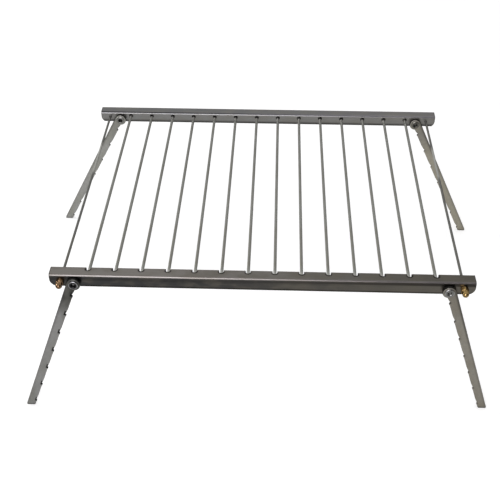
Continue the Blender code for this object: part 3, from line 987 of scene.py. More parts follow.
@dataclass(frozen=True)
class TumbledStrip:
    """Stamped strip, tumbled: specks and shallow dents on its faces, and a sheared edge that is darker
    steel under painted shade.

    Painted shade may fill its notches, and lies on its head, round its neck and along its back edge; it is
    darker towards its sole.
    """

    name: str
    face: Colour
    # head is the face's colour under painted shade, near the pivot.
    head: Colour
    rim: Colour
    warm: Colour
    # Colour of the painted shade in the notches and round the neck.
    dark: Colour = (0.020, 0.020, 0.018)
    notched_edge: float = 0.0023
    back_edge: float = 0.0052
    # How much painted shade fills the notches.
    notch_shade: float = 0.12
    shaded_back: float = 0.35
    # How much darker the leg is towards its sole.
    sole_darkening: float = 0.45
    upper_bounds: Point = (-0.040, -0.012)
    specks: float = 1100.0
    dents: float = 330.0
    clouds: Triple = (90.0, 90.0, 40.0)
    cloud_wander: float = 0.03
    cloud_bounds: Point = (0.42, 0.66)
    cloud_share: float = 0.6
    rim_bounds: Point = (0.00003, 0.00022)
    rim_share: float = 0.85
    sole_bounds: Point = (0.0022, 0.0008)
    back_bounds: Point = (0.0022, 0.0008)
    back_fade: Point = (-0.080, -0.035)
    back_least: float = 0.4
    neck_bounds: Point = (-0.008, -0.004)
    rim_dark: float = 0.9
    bite_shift: float = 0.0008
    bite_bounds: Point = (0.0027, 0.0018)
    bite_depth: Point = (0.0025, 0.0018)
    first_bite: Point = (-0.006, -0.009)
    dent_height: float = 0.00012
    dent_strength: float = 0.45
    speck_height: float = 0.3
    tone: Triple = (0.78, 0.24, 0.2)
    swing: Point = (0.2, 0.12)
    roughness: float = 0.40
    seed: float = 0.0

    def bites(self, layout: Layout, z: Value) -> Value:
        """Finds the notches' bites along the leg.

        Args:
            layout: The shared sizes.
            z: Place along the leg.

        Returns:
            1 level with a bite and 0 between them.
        """
        raised = (z - self.bite_shift) / layout.rod_pitch
        from_notch = abs((WHOLE_PITCHES - raised).fraction() - 0.5) * layout.rod_pitch
        return from_notch.between(*self.bite_bounds) * z.between(*self.first_bite)

    def make(self, layout: Layout, side: Side, splay: float, sole: float) -> bpy.types.Material:
        """Makes the material for a leg, whose thickness lies along its own Y.

        Args:
            layout: The shared sizes.
            side: Which way the leg's notches face.
            splay: How far the leg stands out.
            sole: The sole's depth below the pivot.

        Returns:
            The material.
        """
        made, shade = new_shade(self.name)
        at = shade.place()
        x, y, z = shade.parts(at)
        out = x * side.sign
        specks = shade.noise(at, self.specks, seed=self.seed)
        dents = shade.noise(at, self.dents, seed=self.seed + 4)
        clouds = shade.noise(at, self.clouds, seed=self.seed + 8)
        # Painted shade: the head is darker than the face below it.
        upper = (z + clouds.about(self.cloud_wander)).between(*self.upper_bounds)
        colour = shade.mix(upper, self.face, self.head)
        colour = shade.mix(clouds.between(*self.cloud_bounds) * self.cloud_share, colour, self.warm)
        half = layout.leg_thickness / 2
        # Darker edges: darker sheared steel, with painted shade on the rounded edges.
        rim = abs(y).between(*(half - bound for bound in self.rim_bounds))
        colour = shade.mix(rim * self.rim_share, colour, self.rim)
        # Darker towards the sole.
        near_sole = (z * cos(splay) + out * sin(splay) + sole).between(*self.sole_bounds)
        colour = shade.mix(near_sole * self.sole_darkening, colour, self.rim)
        # Painted shade along the back edge, fading lower down.
        fading = self.back_least + (1 - self.back_least) * z.between(*self.back_fade)
        shaded = (self.back_edge - out).between(*self.back_bounds) * fading
        colour = shade.mix(shaded * self.shaded_back, colour, self.rim)
        # Painted shade in the notches, round the neck's rim, and on the face beside each bite.
        bites = self.bites(layout, z) * self.notch_shade
        shaded_rim = rim * bites.either(z.between(*self.neck_bounds)) * self.rim_dark
        colour = shade.mix(shaded_rim, colour, self.dark)
        shade_beside_bites = bites * (out + self.notched_edge).between(*self.bite_depth)
        colour = shade.mix(shade_beside_bites, colour, self.dark)
        plain, specked, dented = self.tone
        dent_swing, rim_swing = self.swing
        shade.surface(Base_Color=shade.toned(colour, plain + specked * specks + dented * dents),
                      Roughness=self.roughness + dents.about(dent_swing) + rim_swing * rim,
                      Normal=shade.bump(dents + self.speck_height * specks, self.dent_height,
                                        self.dent_strength))
        return made


@dataclass(frozen=True)
class TurnedMetal:
    """Turned or pressed metal: rings round its own Z, with tarnish in patches."""

    name: str
    colour: Colour
    tarnish: Colour
    share: float = 0.6
    patches: float = 420.0
    patch_bounds: Point = (0.38, 0.66)
    patch_middle: float = 0.45
    turning: Triple = (300.0, 300.0, 6000.0)
    turning_depth: float = 0.00002
    turning_strength: float = 0.4
    tone: Point = (0.88, 0.24)
    swing: float = 0.25
    roughness: float = 0.22
    seed: float = 0.0

    def make(self) -> bpy.types.Material:
        """Makes the material for a piece turned round its own Z.

        Returns:
            The material.
        """
        made, shade = new_shade(self.name)
        at = shade.place()
        patches = shade.noise(at, self.patches, detail=3.0, seed=self.seed)
        lines = shade.noise(at, self.turning, seed=self.seed + 2)
        colour = shade.mix(patches.between(*self.patch_bounds) * self.share, self.colour, self.tarnish)
        plain, lined = self.tone
        shade.surface(Base_Color=shade.toned(colour, plain + lined * lines),
                      Roughness=self.roughness + patches.about(self.swing, self.patch_middle),
                      Normal=shade.bump(lines, self.turning_depth, self.turning_strength))
        return made


@dataclass(frozen=True)
class PunchedSteel:
    """Rivet steel: a painted highlight ring on its rolled rim, and painted shade in the bore round a
    lighter middle.
    """

    name: str
    face: Colour
    # ring and pit: colours of the painted highlight ring and of the painted shade in the bore.
    ring: Colour
    pit: Colour = (0.045, 0.045, 0.045)
    # Colour of the bore's lighter middle.
    bore_middle: Colour = (0.300, 0.300, 0.300)
    ring_radius: float = 0.0033
    ring_bounds: Point = (0.0005, 0.0002)
    pit_radius: float = 0.0028
    pit_fade: float = 0.0005
    pit_share: float = 0.9
    bore_middle_radius: float = 0.0009
    bore_middle_fade: float = 0.0004
    patches: float = 520.0
    patch_middle: float = 0.45
    tone: Point = (0.74, 0.52)
    swing: float = 0.25
    roughness: float = 0.27
    seed: float = 0.0

    def make(self) -> bpy.types.Material:
        """Makes the material for a rivet turned round its own Z.

        Returns:
            The material.
        """
        made, shade = new_shade(self.name)
        at = shade.place()
        x, y, _ = shade.parts(at)
        patches = shade.noise(at, self.patches, detail=3.0, seed=self.seed)
        radius = (x.squared() + y.squared()).root()
        # Painted highlight on the rolled rim, and painted shade in the bore, lighter in its middle.
        ring = abs(radius - self.ring_radius).between(*self.ring_bounds)
        pit = radius.between(self.pit_radius, self.pit_radius - self.pit_fade)
        middle = radius.between(self.bore_middle_radius, self.bore_middle_radius - self.bore_middle_fade)
        colour = shade.mix(ring, self.face, self.ring)
        colour = shade.mix(pit * self.pit_share, colour, shade.mix(middle, self.pit, self.bore_middle))
        plain, patched = self.tone
        shade.surface(Base_Color=shade.toned(colour, plain + patched * patches),
                      Roughness=self.roughness + patches.about(self.swing, self.patch_middle))
        return made


@dataclass(frozen=True)
class StudioFloor:
    """Matt white floor. A lens sees it a little brighter than it is lit, and metal sees it dimmer."""

    name: str = "studio floor"
    colour: Colour = (0.80, 0.80, 0.80)
    grain: Colour = (0.78, 0.78, 0.78)
    grain_scale: float = 6.0
    grain_share: float = 0.1
    glow: float = 0.42
    near_in_metal: Colour = (0.34, 0.34, 0.335)
    far_in_metal: Colour = (0.05, 0.05, 0.055)
    reach: Point = (0.25, 0.95)

    def make(self) -> bpy.types.Material:
        """Makes the floor's material.

        Returns:
            The material.
        """
        made, shade = new_shade(self.name)
        at = shade.node("ShaderNodeTexCoord").outputs["Object"]
        x, y, _ = shade.parts(at)
        colour = shade.mix(shade.noise(at, self.grain_scale) * self.grain_share, self.colour, self.grain)
        near, far = self.reach
        distance = (x.squared() + y.squared()).between(near ** 2, far ** 2)
        mirrored = shade.mix(distance, self.near_in_metal, self.far_in_metal)
        rays = shade.node("ShaderNodeLightPath").outputs
        colour = shade.mix(Value(shade, rays["Is Glossy Ray"]), colour, mirrored)
        matt = shade.node("ShaderNodeBsdfDiffuse", values={"Color": colour})
        seen = Value(shade, rays["Is Camera Ray"]) + Value(shade, rays["Is Transmission Ray"])
        light = shade.node("ShaderNodeEmission", values={"Strength": seen * self.glow})
        both = shade.node("ShaderNodeAddShader", values={0: matt.outputs[0], 1: light.outputs[0]})
        shade.node("ShaderNodeOutputMaterial", values={"Surface": both.outputs[0]})
        return made


class Workshop:
    """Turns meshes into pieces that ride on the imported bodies."""

    def __init__(self, stance: Stance) -> None:
        """Remembers where everything stands."""
        self.stance = stance
        self.count = 0

    @staticmethod
    def settle(name: str, mesh: bpy.types.Mesh, place: Matrix) -> bpy.types.Mesh:
        """Copies a mesh into its place, and keeps its own space for its finish.

        Args:
            name: Name of the copy.
            mesh: The mesh, in its own space.
            place: Its place in the scene.

        Returns:
            The mesh in the scene's space.
        """
        settled = mesh.copy()
        settled.name = name
        own = settled.attributes.new(OWN_SPACE, "FLOAT_VECTOR", "POINT")
        own.data.foreach_set("vector", [number for point in settled.vertices for number in point.co])
        settled.transform(place)
        return settled

    def piece(self, name: str, mesh: bpy.types.Mesh, finish: bpy.types.Material, place: Matrix,
              body: str, node: str) -> bpy.types.Object:
        """Adds a piece that stands for one CAD node.

        Args:
            name: The piece's name.
            mesh: Its mesh, in its own space.
            finish: Its material.
            place: Its place in the scene.
            body: The body that carries it.
            node: The CAD node that it stands for.

        Returns:
            The new object.
        """
        settled = self.settle(name, mesh, place)
        settled.materials.append(finish)
        thing = add_object(name, settled)
        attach(thing, body)
        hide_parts(node)
        self.count += 1
        LOG.info("%s stands for %s on %s, %d faces", name, node, body, len(settled.polygons))
        return thing


@dataclass
class Rail:
    """A sheet channel, open below, with its rod holes or slots and its pivot and tie rod holes."""

    layout: Layout
    row: Row
    finish: RolledSheet
    bend_steps: int = 10
    lip: float = 0.00035
    lip_steps: int = 3
    corner: float = 0.0060
    corner_steps: int = 12
    hole_steps: int = 32
    broken_edge: float = 0.00012

    def section(self) -> list[Point]:
        """Draws the channel's section.

        Returns:
            Its points as (y, z).
        """
        layout, lip = self.layout, self.lip
        low, inner_low = layout.outer_bottom + lip, layout.inner_bottom + lip
        width, sheet, bend = layout.rail_width, layout.sheet, layout.bend_radius
        left, right, level = bend, width - bend, layout.top_z - bend
        outside = (arc((lip, low), lip, -pi / 2, -pi, self.lip_steps)
                   + arc((left, level), bend, pi, pi / 2, self.bend_steps)
                   + arc((right, level), bend, pi / 2, 0, self.bend_steps)
                   + arc((width - lip, inner_low), lip, 0, -pi / 2, self.lip_steps))
        inside = (arc((width - sheet + lip, inner_low), lip, -pi / 2, -pi, self.lip_steps)
                  + arc((right, level), bend - sheet, 0, pi / 2, self.bend_steps)
                  + arc((left, level), bend - sheet, pi / 2, pi, self.bend_steps)
                  + arc((sheet - lip, low), lip, 0, -pi / 2, self.lip_steps))
        outer, toward = layout.outer(self.row), -self.row.outward
        return [(outer + toward * y, z) for y, z in outside + inside]

    def outline(self) -> bpy.types.Mesh:
        """Draws what is kept of the channel, whose lower corners are rounded.

        Returns:
            A solid that reaches past the channel, in front of it and behind.
        """
        half, bottom = self.layout.rail_length / 2, self.layout.outer_bottom
        top = self.layout.top_z + OVERCUT
        side = [(-half, top, 0), (half, top, 0), (half, bottom, self.corner), (-half, bottom, self.corner)]
        reach = sorted((self.layout.outer(self.row), self.layout.inner(self.row)))
        return Solid().prism(rounded(side, self.corner_steps), reach[0] - OVERCUT, reach[1] + OVERCUT,
                             Axis.Y).mesh("rail_outline")

    def drill(self, spots: Iterable[Point], radius: float, near: float, far: float) -> bpy.types.Mesh:
        """Makes round cutters along Y.

        Args:
            spots: Each cutter's place as (x, z).
            radius: Their radius.
            near: Y of one end.
            far: Y of the other.

        Returns:
            All of them in one mesh.
        """
        low, high = sorted((near, far))
        solid = Solid()
        for x, z in spots:
            solid.turned([(0, low), (radius, low), (radius, high), (0, high)], self.hole_steps,
                         along_y(x, z))
        return solid.mesh("round_holes")

    def slots(self) -> list[bpy.types.Mesh]:
        """Makes the cutters for the front rail's slots.

        Returns:
            Those that go through its inner flange, and those that go into its top.
        """
        layout = self.layout
        radius, top = layout.hole_radius, layout.top_z + OVERCUT
        face = layout.inner(Row.FRONT)
        through, into = Solid(), Solid()
        for x in layout.rod_places():
            down = (arc((x, layout.hole_z), radius, pi, 2 * pi, self.hole_steps // 2)
                    + [(x + radius, top), (x - radius, top)])
            through.prism(down, face - layout.bend_radius, face + OVERCUT, Axis.Y)
            end = face - layout.slot_reach + radius
            plan = (arc((x, end), radius, pi, 2 * pi, self.hole_steps // 2)
                    + [(x + radius, face + OVERCUT), (x - radius, face + OVERCUT)])
            into.prism(plan, layout.top_z - layout.bend_radius, top, Axis.Z)
        return [through.mesh("slots_through"), into.mesh("slots_into")]

    def mesh(self) -> bpy.types.Mesh:
        """Cuts the rail to its shape.

        Returns:
            The finished rail on the level frame.
        """
        layout, half = self.layout, self.layout.rail_length / 2
        blank = Solid().prism(self.section(), -half, half, Axis.X).mesh("rail_blank")
        past = self.row.outward * OVERCUT
        ties = self.drill([(side.sign * layout.tie_x, 0) for side in Side], layout.tie_hole,
                          layout.outer(self.row) + past, layout.inner(self.row) - past)
        face = layout.leg_flange(self.row)
        span = face - OVERCUT, face + 2 * layout.sheet
        pivots = self.drill([layout.pivot(self.row, side) for side in Side], layout.pivot_hole, *span)
        if self.row is Row.FRONT:
            rods = self.slots()
        else:
            holes = [(x, layout.hole_z) for x in layout.rod_places()]
            rods = [self.drill(holes, layout.hole_radius, *span)]
        return carve(f"{self.row.value}_channel", blank, self.outline(), [ties, pivots, *rods],
                     self.broken_edge)

    def build(self, shop: Workshop) -> None:
        """Adds the rail."""
        shop.piece(f"{self.row.value}_channel", self.mesh(), self.finish.make(self.layout, self.row),
                   shop.stance.frame, "grill_frame", f"{self.row.value}_rail")


@dataclass
class Grate:
    """The loose rods and the two threaded tie rods."""

    layout: Layout
    finish: DrawnWire
    tie_finish: DrawnWire
    tail_clearance: float = 0.0008
    tip_clearance: float = 0.0006
    end_round: float = 0.0004
    end_steps: int = 5
    steps: int = 28
    tie_front: float = 0.1350
    tie_back: float = 0.1302
    thread_length: float = 0.0190
    thread_pitch: float = 0.0004
    thread_depth: float = 0.00022
    thread_start: float = 0.0004
    thread_runout: float = 0.001
    rings_per_pitch: int = 6
    tie_steps: int = 18
    end_chamfer: float = 0.0003

    def rod_ends(self) -> Point:
        """Finds a loose rod's ends.

        Returns:
            The front and the back end, along the rod's own Y.
        """
        hinge = self.layout.inner(Row.BACK) + self.layout.sheet / 2
        near = self.layout.inner(Row.FRONT) - self.layout.slot_reach + self.tip_clearance
        far = self.layout.outer(Row.BACK) - self.layout.sheet - self.tail_clearance
        return near - hinge, far - hinge

    def rod(self) -> bpy.types.Mesh:
        """Turns a loose rod with rounded ends.

        Returns:
            The rod along Y, its origin on its underside.
        """
        near, far = self.rod_ends()
        radius, small = self.layout.rod_diameter / 2, self.end_round
        profile = ([(0, near)] + arc((radius - small, near + small), small, -pi / 2, 0, self.end_steps)
                   + arc((radius - small, far - small), small, 0, pi / 2, self.end_steps) + [(0, far)])
        return Solid().turned(profile, self.steps, along_y(0, radius)).mesh("loose_rod")

    def tie(self) -> bpy.types.Mesh:
        """Makes a tie rod whose ends carry a helical thread.

        Returns:
            The rod along Y, its origin in the middle between the rails.
        """
        radius, steps = self.layout.tie_diameter / 2, self.tie_steps
        near, far = -self.tie_front, self.tie_back
        count = int(self.thread_length / self.thread_pitch) * self.rings_per_pitch
        marks = [self.thread_pitch * i / self.rings_per_pitch for i in range(count)]
        solid = Solid()
        rings = [solid.ring([Vector((0, near, 0))])]
        for y in [near + mark for mark in marks] + [far - mark for mark in reversed(marks)]:
            from_end = min(y - near, far - y)
            runout = max(0.0, (self.thread_length - from_end) / self.thread_runout)
            fade = min(1.0, from_end / self.thread_start, runout)
            spots = []
            for i in range(steps):
                angle = 2 * pi * i / steps
                wave = abs(((y / self.thread_pitch - i / steps) % 1.0) * 2 - 1)
                r = min(radius - self.thread_depth * fade * wave, radius - self.end_chamfer + from_end)
                spots.append(Vector((r * cos(angle), y, r * sin(angle))))
            rings.append(solid.ring(spots))
        rings.append(solid.ring([Vector((0, far, 0))]))
        for low, high in zip(rings, rings[1:]):
            solid.skin(low, high)
        return solid.mesh("tie_rod")

    def build(self, shop: Workshop) -> None:
        """Adds every rod and both tie rods.

        Args:
            shop: What adds the pieces.
        """
        rod, wire = self.rod(), self.finish.make()
        for i in range(self.layout.rod_count):
            body = f"grill_rod_{i + 1:02d}"
            shop.piece(f"loose_rod_{i + 1:02d}", rod, wire, shop.stance.rod(body), body, body)
        tie, dark = self.tie(), self.tie_finish.make()
        for side in Side:
            place = shop.stance.frame @ Matrix.Translation((side.sign * self.layout.tie_x, 0, 0))
            shop.piece(f"threaded_tie_{side.value}", tie, dark, place, "grill_frame",
                       f"tie_rod_{side.value}")


@dataclass
class Nuts:
    """Nuts on the ends of the tie rods: domed ones in front and thin ones behind."""

    layout: Layout
    finishes: dict[Side, TurnedMetal]
    across_flats: float = 0.0055
    hex_height: float = 0.0040
    dome_radius: float = 0.0025
    dome_straight: float = 0.0022
    wall: float = 0.0012
    thin_height: float = 0.0016
    chamfer: float = 0.0005
    chamfer_slope: float = 0.55
    chamfer_steps: int = 6
    belts: Triple = (0.3, 0.5, 0.7)
    worn_corner: float = 0.00012
    fillet: float = 0.0002
    fillet_steps: int = 3
    dome_steps: int = 14
    steps: int = 96

    def flank(self, height: float) -> list[Point]:
        """Draws a nut's chamfered flank.

        Args:
            height: The flank's height.

        Returns:
            Its points as (radius, height), from the seat up.
        """
        corner, rise = self.across_flats / sqrt(3) - self.worn_corner, self.chamfer_slope * self.chamfer
        levels = [i / self.chamfer_steps for i in range(self.chamfer_steps + 1)]
        seat = [(corner - self.chamfer * (1 - t), rise * t) for t in levels]
        crown = [(corner - self.chamfer * t, height - rise * (1 - t)) for t in levels]
        return seat + [(corner, height * t) for t in self.belts] + crown

    def cap_profile(self) -> list[Point]:
        """Draws a cap nut's profile, from the bore's blind end round to the dome.

        Returns:
            Its points as (radius, height), with a pole at each end.
        """
        bore, fillet, dome = self.layout.tie_hole, self.fillet, self.dome_radius
        start = self.hex_height + self.dome_straight
        depth = start + dome - self.wall
        foot = arc((dome + fillet, self.hex_height + fillet), fillet, -pi / 2, -pi, self.fillet_steps)
        crown = arc((0, start), dome, 0, pi / 2, self.dome_steps)[:-1]
        return ([(0, depth), (bore, depth), (bore, 0)] + self.flank(self.hex_height)
                + foot + crown + [(0, start + dome)])

    def thin_profile(self) -> list[Point]:
        """A thin nut's profile, which is a closed one."""
        bore = self.layout.tie_hole
        return [(bore, 0)] + self.flank(self.thin_height) + [(bore, self.thin_height)]

    def mesh(self, name: str, profile: Sequence[Point]) -> bpy.types.Mesh:
        """Turns a profile round Z and gives it six flats.

        Args:
            name: Name of the mesh.
            profile: Points as (radius, height). It is closed unless it begins with a pole.

        Returns:
            The nut, seated on z = 0.
        """
        return Solid().turned(profile, self.steps, closed=profile[0][0] > 0,
                              flat=self.across_flats / 2).mesh(name)

    def build(self, shop: Workshop) -> None:
        """Adds the four nuts.

        Args:
            shop: What adds the pieces.
        """
        meshes = {Row.FRONT: self.mesh("cap_nut", self.cap_profile()),
                  Row.BACK: self.mesh("thin_nut", self.thin_profile())}
        for side in Side:
            brass = self.finishes[side].make()
            for row in Row:
                seat = row.outward * (self.layout.half_depth + self.layout.seat_gap)
                place = (Matrix.Translation((side.sign * self.layout.tie_x, seat, 0))
                         @ Matrix.Rotation(-row.outward * pi / 2, 4, "X"))
                shop.piece(f"brass_{row.value}_{side.value}", meshes[row], brass,
                           shop.stance.frame @ place, "grill_frame",
                           f"nut_{row.value}_{side.value}")


@dataclass
class Legs:
    """The four notched legs, all of one stamping."""

    layout: Layout
    finishes: dict[tuple[Row, Side], TumbledStrip]
    head_radius: float = 0.0052
    width: float = 0.0075
    foot_width: float = 0.0068
    folded_gap: float = 0.0029
    notch_radius: float = 0.0016
    notch_depth: float = 0.0009
    notch_play: float = 0.0004
    notch_ramp: float = 0.0060
    notch_hook: float = 0.0003
    hook_reach: float = 5.0
    ramp_rise: float = 0.45
    ramp_sag: float = 0.3
    bite_steps: int = 12
    head_steps: int = 40
    hole_steps: int = 36
    foot_round: float = 0.0012
    foot_steps: int = 8
    sole_trim: float = 0.0003
    edge_round: float = 0.00040
    edge_steps: int = 3

    @property
    def length(self) -> float:
        """From the pivot to the sole."""
        return self.layout.pivot_x - self.folded_gap

    def crest(self, along: float) -> float:
        """The notched edge's distance across the leg from its pivot."""
        width = self.width + (self.foot_width - self.width) * along / self.length
        return width - self.head_radius

    def notch(self, middle: float) -> list[Point]:
        """Draws one notch: a long ramp, a round bite and a small hook.

        Args:
            middle: How far along the leg the bite lies.

        Returns:
            Its points as (along, across), from head to foot.
        """
        layout, radius, hook = self.layout, self.notch_radius, self.notch_hook
        top = self.crest(middle)
        under_rod = layout.rod_z - layout.rod_diameter / 2 - layout.pivot_z - self.notch_play
        floor = min(top - self.notch_depth, under_rod)
        centre = (middle, floor + radius)
        ramp_foot = floor + (top - floor) * self.ramp_rise

        def turn(height: float) -> float:
            """The bite's angle at a height, as far as it reaches."""
            return asin(max(-1.0, min(1.0, (height - centre[1]) / radius)))

        start, end = pi - turn(ramp_foot), 2 * pi + turn(top)
        ramp_start = max(middle - self.notch_ramp, self.head_radius + hook)
        tip = centre[0] + radius * cos(end)
        ramp_middle = ((ramp_start + middle - radius) / 2, top - (top - ramp_foot) * self.ramp_sag)
        return ([(ramp_start, self.crest(ramp_start)), ramp_middle]
                + arc(centre, radius, start, end, self.bite_steps)
                + [(tip + hook, top + hook), (tip + self.hook_reach * hook, self.crest(tip))])

    def sole(self, splay: float) -> float:
        """The sole's depth below the pivot, for a leg that stands at a splay."""
        middle = self.foot_width / 2 - self.head_radius
        return self.length * cos(splay) + middle * sin(splay) + self.sole_trim

    def outline(self, splay: float) -> list[Point]:
        """Draws a leg's outline, with a sole that lies on the floor.

        Args:
            splay: How far the leg stands out.

        Returns:
            Its points as (along, across).
        """
        layout, head, sole = self.layout, self.head_radius, self.sole(splay)

        def on_sole(across: float) -> float:
            """How far along the leg the sole lies, at a distance across it."""
            return (sole - across * sin(splay)) / cos(splay)

        neck = asin(self.crest(0) / head)
        points = arc((0, 0), head, -pi / 2, neck - 2 * pi, self.head_steps)
        for i in range(layout.rod_count // 2):
            points += self.notch(layout.rod_pitch * (i + 0.5))
        inner = self.crest(self.length)
        foot = [(points[-1][0], points[-1][1], 0), (on_sole(inner), inner, self.foot_round),
                (on_sole(-head), -head, self.foot_round), (0, -head, 0)]
        return points + rounded(foot, self.foot_steps)[1:-1]

    def mesh(self, name: str, side: Side, splay: float, place: Matrix) -> bpy.types.Mesh:
        """A leg with rounded edges, cut off along the floor.

        Args:
            name: Name of the mesh.
            side: The leg's end of the rail.
            splay: How far the leg stands out.
            place: The leg's place in the scene.

        Returns:
            The mesh, its origin on the pivot and its length along -Z.
        """
        plan = [(-side.sign * across, -along) for along, across in self.outline(splay)]
        hole = arc((0, 0), self.layout.pivot_hole, 0, 2 * pi, self.hole_steps)[:-1]
        half, edge = self.layout.leg_thickness / 2, self.edge_round
        turns = [pi / 2 * i / self.edge_steps for i in range(self.edge_steps + 1)]
        levels = [(edge * (1 - cos(a)), half - edge + edge * sin(a)) for a in turns]
        solid = Solid()
        bores = [solid.ring(Axis.Y.place(p, y) for p in hole) for y in (-half, half)]
        solid.skin(*bores)
        faces = []
        for sign in (-1, 1):
            rings = [solid.ring(Axis.Y.place(p, sign * depth) for p in inset(plan, back))
                     for back, depth in levels]
            for low, high in zip(rings, rings[1:]):
                solid.skin(low, high)
            faces.append(rings)
        solid.skin(faces[0][0], faces[1][0])
        for bore, rings in zip(bores, faces):
            solid.cap([rings[-1], bore])
        self.cut_sole(solid, place)
        return solid.mesh(name)

    @staticmethod
    def cut_sole(solid: Solid, place: Matrix) -> None:
        """Cuts a leg off along the scene's floor.

        Args:
            solid: The leg, in its own space.
            place: The leg's place in the scene.
        """
        inverse = place.inverted()
        down = (inverse.to_3x3() @ Vector((0, 0, -1))).normalized()
        work = solid.builder
        bmesh.ops.bisect_plane(work, geom=work.verts[:] + work.edges[:] + work.faces[:],
                               plane_co=inverse @ Vector((0, 0, 0)), plane_no=down, clear_outer=True)
        bmesh.ops.holes_fill(work, edges=[edge for edge in work.edges if edge.is_boundary])

    def build(self, shop: Workshop) -> None:
        """Adds the four legs.

        Args:
            shop: What adds the pieces.
        """
        for row, side in product(Row, Side):
            body = f"leg_{row.value}_{side.value}"
            place = shop.stance.leg(row, side)
            splay = shop.stance.splay(body)
            name = f"bar_{row.value}_{side.value}"
            finish = self.finishes[row, side].make(self.layout, side, splay, self.sole(splay))
            shop.piece(name, self.mesh(name, side, splay, place), finish, place, body, body)


@dataclass
class Pivots:
    """The rivets that the legs turn on, each with a flared bore, and the spacers behind the legs."""

    layout: Layout
    rivet_finishes: dict[tuple[Row, Side], PunchedSteel]
    washer_finish: TurnedMetal
    bore: float = 0.0030
    mouth: float = 0.0052
    flare: float = 0.0009
    depth: float = 0.0017
    punch_mark: float = 0.0003
    flange: float = 0.0076
    lip: float = 0.0006
    rim_fall: float = 0.85
    undercut: float = 0.2
    clinch_round: float = 0.5
    round_steps: int = 8
    washer_diameter: float = 0.0088
    washer_edge: float = 0.00012
    steps: int = 48

    def rivet(self) -> bpy.types.Mesh:
        """Turns a rivet round Z.

        Returns:
            The rivet: z = 0 is the rail's face, and +Z points out past the leg.
        """
        layout, lip = self.layout, self.lip
        bore, mouth, edge = self.bore / 2, self.mouth / 2, self.flange / 2
        head, tail = layout.rivet_near, -layout.sheet - layout.seat_gap
        rim, butt, shank = head + lip, tail - lip, layout.rivet_shank / 2
        floor = rim - self.depth
        turns = [pi / 2 * i / self.round_steps for i in range(self.round_steps + 1)]
        mark, fall, clinch = self.punch_mark, self.rim_fall, lip * self.clinch_round
        punched = [(0, floor + mark)] + [(bore * sin(a), floor + mark * cos(a)) for a in turns[1:]]
        flared = [(bore + (mouth - bore) * (1 - cos(a)), rim - self.flare * (1 - sin(a))) for a in turns]
        rolled = [(mouth + (edge - mouth) * sin(a), head + lip * (1 - fall * (1 - cos(a))))
                  for a in turns[1:]]
        neck = [(edge - lip * self.undercut, head), (shank, head), (shank, tail), (edge, tail)]
        clinched = [(edge - clinch * (1 - cos(a)), butt + clinch * (1 - sin(a))) for a in turns]
        profile = punched + flared + rolled + neck + clinched + [(0, butt)]
        return Solid().turned(profile, self.steps).mesh("flared_rivet")

    def washer(self) -> bpy.types.Mesh:
        """Turns a spacer washer round Z, its edges broken.

        Returns:
            The washer, seated on z = 0.
        """
        hole, edge = self.layout.pivot_hole, self.washer_edge
        rim, thick = self.washer_diameter / 2, self.layout.washer_thickness
        profile = [(hole + edge, 0), (rim - edge, 0), (rim, edge), (rim, thick - edge),
                   (rim - edge, thick), (hole + edge, thick), (hole, thick - edge), (hole, edge)]
        return Solid().turned(profile, self.steps, closed=True).mesh("spacer_washer")

    def build(self, shop: Workshop) -> None:
        """Adds a rivet and a washer for each leg.

        Args:
            shop: What adds the pieces.
        """
        rivet, washer = self.rivet(), self.washer()
        black = self.washer_finish.make()
        outward = Matrix.Rotation(pi / 2, 4, "X")
        for row, side in product(Row, Side):
            where = f"{row.value}_{side.value}"
            x, z = self.layout.pivot(row, side)
            seat = Vector((x, self.layout.leg_flange(row), z))
            shop.piece(f"eyelet_{where}", rivet, self.rivet_finishes[row, side].make(),
                       shop.stance.frame @ Matrix.Translation(seat) @ outward,
                       "grill_frame", f"rivet_{where}")
            seat.y -= self.layout.seat_gap
            shop.piece(f"spacer_{where}", washer, black,
                       shop.stance.frame @ Matrix.Translation(seat) @ outward,
                       "grill_frame", f"washer_{where}")


@dataclass(frozen=True)
class Lamp:
    """A soft box: its size, place, what it points at, power and colour."""

    name: str
    size: Point
    place: Triple
    target: Triple
    power: float
    colour: Colour = (1.0, 1.0, 1.0)

    def hang(self) -> None:
        """Adds the lamp."""
        data = bpy.data.lights.new(self.name, "AREA")
        data.shape = "RECTANGLE"
        data.size, data.size_y = self.size
        data.energy, data.color = self.power, self.colour
        thing = add_object(self.name, data)
        aim = (Vector(self.target) - Vector(self.place)).to_track_quat("-Z", "Y")
        thing.matrix_world = Matrix.Translation(self.place) @ aim.to_matrix().to_4x4()


